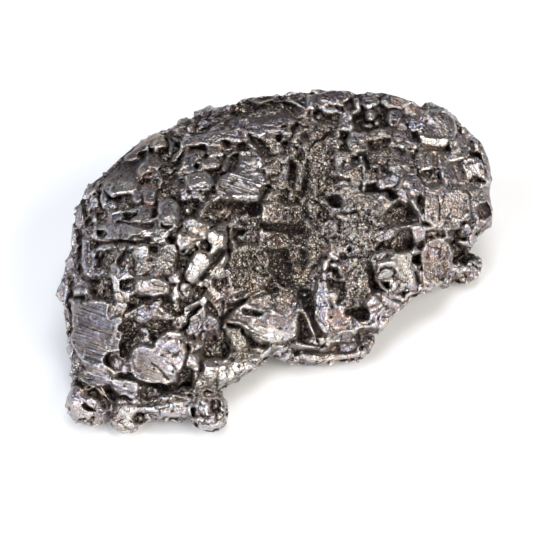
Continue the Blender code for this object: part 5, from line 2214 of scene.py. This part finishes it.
@dataclass(frozen=True)
class NickelIronFinish:
    """Cleaned nickel iron, worn bright on its lumps, with brown oxide left in its hollows; bright
    lips and sheen patches are partly painted highlight, and painted shade, plum shade and a
    painted blue reflection lie in patches.
    """

    metal: tuple = (0.44, 0.40, 0.38, 1.0)
    # bright metal is also the colour of the painted highlight
    bright_metal: tuple = (0.68, 0.668, 0.615, 1.0)
    pale_metal: tuple = (0.82, 0.79, 0.64, 1.0)
    warm_metal: tuple = (0.28, 0.215, 0.17, 1.0)
    # cool metal also colours the painted blue reflection
    cool_metal: tuple = (0.35, 0.34, 0.44, 1.0)
    # dark plum colour: the plum tint, laid on as painted shade too
    plum: tuple = (0.14, 0.122, 0.132, 1.0)
    brown: tuple = (0.13, 0.094, 0.070, 1.0)
    gold: tuple = (0.50, 0.37, 0.20, 1.0)
    rust: tuple = (0.24, 0.090, 0.055, 1.0)
    warm_stain: tuple = (0.42, 0.20, 0.11, 1.0)
    cool_stain: tuple = (0.22, 0.25, 0.44, 1.0)
    oxide: tuple = (0.023, 0.0155, 0.0135, 1.0)
    polish_and_sheen: float = 0.28
    rough: float = 0.42
    oxide_metallic: float = 0.45
    grit_size: float = 0.0013
    satin_size: float = 0.00042
    granule: float = 0.00032
    hole_cell: float = 0.0017
    fissure_cell: float = 0.0022
    streak_size: float = 0.0005
    streak_scale: float = 0.05
    streak_fall: float = 17.0
    blotch_size: float = 0.0050
    stain_size: float = 0.0011
    stain_share: float = 0.52
    clump_size: float = 0.0016
    fleck: float = 0.00026
    fleck_share: float = 0.5
    # how much painted highlight the convex lips get over their wear
    lip_shine: float = 0.8
    grit_height: float = 1.7
    granule_height: float = 0.9
    hole_depth: float = 0.8
    fissure_depth: float = 0.9
    streak_height: float = 2.2
    bump_height: float = 0.00030
    near_share: float = 1.3
    # how much the polish and sheen patches take off the hollows' depth
    polish_and_sheen_share: float = 0.7
    # the painted shade patches deepen the hollows, so oxide and tarnish carry painted shade too
    depth_shares: tuple = (
        ("far", 0.12), ("crack", 1.2), ("painted_shade", 1.0), ("browned", 0.5), ("sunk", 0.25)
    )

    def grain_group(self) -> bpy.types.NodeTree:
        """Lay out the metal's own fine grain and its rubbed streaks.

        Returns:
            A group with a height, a mask of bare granules among dark ones, and masks of
            pinholes, fissures and streaks.
        """
        group = bpy.data.node_groups.new("metal_grain", "ShaderNodeTree")
        for name in ("Striated", "Worn", "Granular"):
            group.interface.new_socket(name, in_out="INPUT", socket_type="NodeSocketFloat")
        for name in ("Height", "Speck", "Pinhole", "Fissure", "Streak"):
            group.interface.new_socket(name, in_out="OUTPUT", socket_type="NodeSocketFloat")
        bench = NodeBench(group)
        striated, worn, granular = group.nodes.new("NodeGroupInput").outputs[:3]
        place = bench.place()
        grit = bench.noise(place, self.grit_size, 3.0, 0.6)
        satin = bench.noise(place, self.satin_size, 1.0, 0.5)
        gap, pick = bench.cells(place, self.granule)
        hole_gap, hole_pick = bench.cells(place, self.hole_cell)
        hole = bench.minus(1.0, bench.ease(hole_gap, 0.10, 0.22))
        hole = bench.times(hole, bench.ease(hole_pick, 0.45, 0.55))
        smooth = bench.minus(1.0, striated)
        crack = bench.times(bench.fissures(place, self.fissure_cell), smooth)
        drawn = bench.stretch(place, self.streak_scale, self.streak_fall)
        streak = bench.noise(drawn, self.streak_size, 3.0, 0.6)
        calm = bench.most(bench.scale(worn, 1.0, 0.35), granular)
        calm = bench.times(calm, bench.scale(striated, 1.0, 0.3))
        height = bench.times(grit, bench.times(calm, self.grit_height))
        amount = bench.times(bench.scale(calm, 0.45, 0.9), bench.scale(smooth, 0.2, 1.0))
        height = bench.plus(height, bench.times(satin, amount))
        amount = bench.times(granular, self.granule_height)
        amount = bench.plus(amount, bench.scale(smooth, 0.0, 0.10))
        height = bench.plus(height, bench.times(bench.minus(1.0, gap), amount))
        height = bench.minus(height, bench.times(hole, self.hole_depth))
        height = bench.minus(height, bench.times(crack, self.fissure_depth))
        amount = bench.times(striated, self.streak_height)
        height = bench.plus(height, bench.times(streak, amount))
        speck = bench.times(pick, bench.scale(bench.ease(gap, 0.45, 0.75), 1.0, 0.3))
        end = group.nodes.new("NodeGroupOutput")
        for socket, value in zip(end.inputs, (height, speck, hole, crack, streak)):
            bench.plug(socket, value)
        return group

    def depth(self, bench: NodeBench, speck: Socket, granular: Socket) -> Socket:
        """Add up what makes a place a hollow, where oxide stays, with the painted shade patches
        added and the polish and sheen patches taken off.

        Args:
            bench: The material's bench.
            speck: Mask of bare granules.
            granular: Mask of granular places.

        Returns:
            The depth, below 0 on what stands out.
        """
        depth = bench.times(bench.mask("near"), self.near_share)
        for name, share in self.depth_shares:
            depth = bench.plus(depth, bench.times(bench.mask(name), share))
        depth = bench.minus(depth, bench.times(bench.mask("polish_and_sheen"), self.polish_and_sheen_share))
        ragged = bench.times(bench.minus(0.5, speck), bench.scale(granular, 0.6, 1.5))
        return bench.plus(depth, ragged)

    def build(self) -> bpy.types.Material:
        """Build the material from the metal's own colour and the coats over it.

        Returns:
            The material.
        """
        material = bpy.data.materials.new("nickel_iron")
        material.use_nodes = True
        bench = NodeBench(material.node_tree)
        blotch = bench.noise(bench.place(), self.blotch_size, 3.0, 0.6)
        sunk = bench.mask("sunk")
        granular = bench.most(bench.mask("granular"), bench.times(sunk, 0.8))
        granular = bench.most(granular, bench.times(bench.mask("browned"), 0.8))
        grain = bench.node("ShaderNodeGroup", {}, node_tree=self.grain_group())
        bench.plug(grain.inputs["Striated"], bench.mask("striated"))
        bench.plug(grain.inputs["Worn"], bench.mask("worn"))
        bench.plug(grain.inputs["Granular"], granular)
        speck = grain.outputs["Speck"]
        depth = self.depth(bench, speck, granular)
        # tarnish from the hollows' depth, with painted shade where the shade patches add to it
        tarnish_and_shade = bench.ease(depth, -0.7, 1.0)
        rusty = bench.most(bench.mask("rusty"), bench.times(sunk, 0.4))
        rust = bench.times(rusty, bench.ease(depth, -0.9, 0.5))
        rust = bench.times(rust, bench.ease(blotch, 0.36, 0.60))

        # rubbed streaks, the shine of worn lips, which is partly painted highlight, and the stains
        streak = grain.outputs["Streak"]
        striated = bench.mask("striated")
        warm_rub = bench.times(striated, bench.ease(streak, 0.50, 0.38))
        cool_rub = bench.times(striated, bench.ease(streak, 0.50, 0.64))
        # convex lips and the polish and sheen patches: worn bright, with painted highlight
        lip = bench.ease(bench.mask("near"), -0.08, -0.40)
        shine = bench.most(bench.mask("polish_and_sheen"), bench.times(lip, self.lip_shine))
        stain = bench.noise(bench.place(), self.stain_size, 4.0, 0.75)
        plain = bench.scale(striated, self.stain_share, 0.0)

        # each coat is a mask and a colour, laid over the one before
        coats = [
            # painted blue reflection
            (bench.mask("painted_blue_reflection"), self.cool_metal),
            (bench.times(tarnish_and_shade, 0.85), self.warm_metal),
            # plum tint with painted shade
            (bench.mask("plum"), self.plum),
            (bench.times(bench.mask("browned"), bench.scale(speck, 1.0, 0.35)), self.brown),
            (bench.times(sunk, bench.scale(speck, 0.8, 0.2)), self.brown),
            (bench.times(bench.mask("golden"), bench.scale(speck, 0.2, 1.0)), self.gold),
            (rust, self.rust),
            (bench.times(warm_rub, 0.8), self.warm_metal),
            (bench.times(cool_rub, 0.7), self.cool_metal),
            # painted highlight over worn and polished metal
            (bench.times(shine, bench.scale(tarnish_and_shade, 0.85, 0.0)), self.bright_metal),
            (bench.times(bench.ease(stain, 0.50, 0.64), plain), self.warm_stain),
            (bench.times(bench.ease(stain, 0.48, 0.36), plain), self.cool_stain),
        ]

        # granules that gather in clumps, flecks between them, and oxide over all, which the
        # painted shade patches darken further
        clump = bench.scale(bench.noise(bench.place(), self.clump_size, 2.0, 0.6), -0.5, 0.5)
        speck = bench.plus(speck, clump)
        glint = bench.times(bench.ease(speck, 0.64, 0.82), bench.scale(granular, 0.12, 1.0))
        pepper = bench.times(bench.ease(speck, 0.42, 0.22), bench.scale(granular, 0.2, 0.75))
        fleck = bench.noise(bench.place(), self.fleck, 1.0, 0.5)
        dull = bench.most(striated, bench.times(bench.mask("plum"), 0.6))
        share = bench.scale(dull, self.fleck_share, 0.10)
        # oxide in the hollows, with painted shade where the shade patches add to the depth
        oxide_and_shade = bench.times(bench.ease(depth, 0.25, 1.6), bench.scale(glint, 0.94, 0.30))
        coats += [
            (pepper, self.brown),
            (bench.times(bench.ease(fleck, 0.48, 0.30), share), self.brown),
            (bench.times(bench.ease(fleck, 0.52, 0.70), share), self.bright_metal),
            (bench.times(glint, 0.8), self.pale_metal),
            (oxide_and_shade, self.oxide),
            (bench.times(grain.outputs["Pinhole"], 0.85), self.oxide),
            (bench.times(grain.outputs["Fissure"], 0.8), self.oxide),
        ]
        colour = bench.blend(bench.ease(blotch, 0.40, 0.62), self.metal, self.cool_metal)
        for mask, paint in coats:
            colour = bench.blend(mask, colour, paint)
        cover = bench.most(bench.times(rust, 0.7), oxide_and_shade)
        inputs = {"Strength": 1.0, "Distance": self.bump_height, "Height": grain.outputs["Height"]}
        looks = {
            "Base Color": colour,
            "Metallic": bench.scale(cover, 1.0, self.oxide_metallic),
            "Roughness": bench.scale(tarnish_and_shade, self.polish_and_sheen, self.rough),
            "Normal": bench.node("ShaderNodeBump", inputs).outputs["Normal"],
        }
        shader = material.node_tree.nodes["Principled BSDF"]
        for name, value in looks.items():
            bench.plug(shader.inputs[name], value)
        return material


@dataclass
class Meteorite:
    """The whole stone."""

    survey: Survey
    finish: NickelIronFinish

    def build(self) -> bpy.types.Object:
        """Build, raise, thin, mask and dress the stone, and tie it to the frame.

        Returns:
            The stone's object.
        """
        stone = StoneBody(self.survey).build()
        log.info("body has %d points", len(stone.data.vertices))
        relief = StoneRelief(self.survey)
        front = relief.raise_on(stone)
        relief.thin(stone, front)
        StoneMasks(self.survey, relief).store(stone.data)
        stone.name = "meteorite_skin"
        stone.data.name = stone.name
        stone.data.shade_smooth()
        stone.data.materials.clear()
        stone.data.materials.append(self.finish.build())
        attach(stone, "root")
        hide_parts(NODE)
        return stone


@dataclass(frozen=True)
class SoftBox:
    """One large soft light: where it stands, what it aims at, its size and its strength."""

    name: str
    place: tuple
    size: tuple
    power: float
    colour: tuple = (1.0, 1.0, 1.0)


@dataclass
class Studio:
    """The pale floor, the soft light and the camera."""

    survey: Survey
    floor_size: float = 6.0
    floor_colour: tuple = (0.92, 0.92, 0.92, 1.0)
    sky_colour: tuple = (0.12, 0.12, 0.125, 1.0)
    frame_steps: float = 533.0
    sensor: float = 36.0
    boxes: list = field(default_factory=lambda: [
        SoftBox("left_box", (-1.1, -0.5, 0.7), (1.2, 1.2), 21.0, (0.86, 0.91, 1.0)),
        SoftBox("right_box", (1.1, -0.6, 0.7), (1.2, 1.2), 23.0, (1.0, 0.96, 0.90)),
        SoftBox("front_box", (0.1, -1.2, 0.24), (1.6, 0.45), 7.0, (1.0, 0.98, 0.95)),
        SoftBox("top_box", (0.1, 0.3, 1.4), (0.8, 0.8), 10.0, (0.94, 0.96, 1.0)),
    ])

    def add_floor(self) -> None:
        """Lay the floor."""
        shape = bmesh.new()
        bmesh.ops.create_grid(shape, x_segments=1, y_segments=1, size=self.floor_size / 2)
        mesh = bpy.data.meshes.new("floor")
        shape.to_mesh(mesh)
        shape.free()
        floor = bpy.data.objects.new("floor", mesh)
        bpy.context.scene.collection.objects.link(floor)
        material = bpy.data.materials.new("pale_floor")
        material.use_nodes = True
        shader = material.node_tree.nodes["Principled BSDF"]
        shader.inputs["Base Color"].default_value = self.floor_colour
        shader.inputs["Roughness"].default_value = 0.9
        mesh.materials.append(material)

    def add_light(self) -> None:
        """Hang the soft boxes and set the room's even light."""
        scene = bpy.context.scene
        world = bpy.data.worlds.new("room")
        world.use_nodes = True
        world.node_tree.nodes["Background"].inputs["Color"].default_value = self.sky_colour
        scene.world = world
        for box in self.boxes:
            light = bpy.data.lights.new(box.name, "AREA")
            light.shape = "RECTANGLE"
            light.size, light.size_y = box.size
            light.energy = box.power
            light.color = box.colour
            lamp = bpy.data.objects.new(box.name, light)
            scene.collection.objects.link(lamp)
            lamp.location = box.place
            lamp.rotation_euler = (-lamp.location).to_track_quat("-Z", "Y").to_euler()
        scene.view_settings.view_transform = "Standard"

    def add_camera(self) -> None:
        """Stand the camera at the survey's eye."""
        survey = self.survey
        data = bpy.data.cameras.new("camera")
        data.sensor_width = self.sensor
        data.lens = self.sensor * survey.eye_steps / self.frame_steps
        camera = bpy.data.objects.new("camera", data)
        bpy.context.scene.collection.objects.link(camera)
        eye = survey.to_world(survey.aim_across, survey.aim_down, survey.eye_steps)
        camera.location = eye
        camera.rotation_euler = (math.radians(survey.pitch), 0.0, 0.0)
        bpy.context.scene.camera = camera

    def build(self) -> None:
        """Set up floor, light and camera."""
        self.add_floor()
        self.add_light()
        self.add_camera()


def main() -> None:
    """Build the stone and the studio."""
    logging.basicConfig(level=logging.INFO, format="%(message)s")
    survey = Survey()
    stone = Meteorite(survey, NickelIronFinish()).build()
    log.info("%s: %d faces", stone.name, len(stone.data.polygons))
    Studio(survey).build()
    log.info("floor, light and camera are set")


if __name__ == "__main__":
    main()
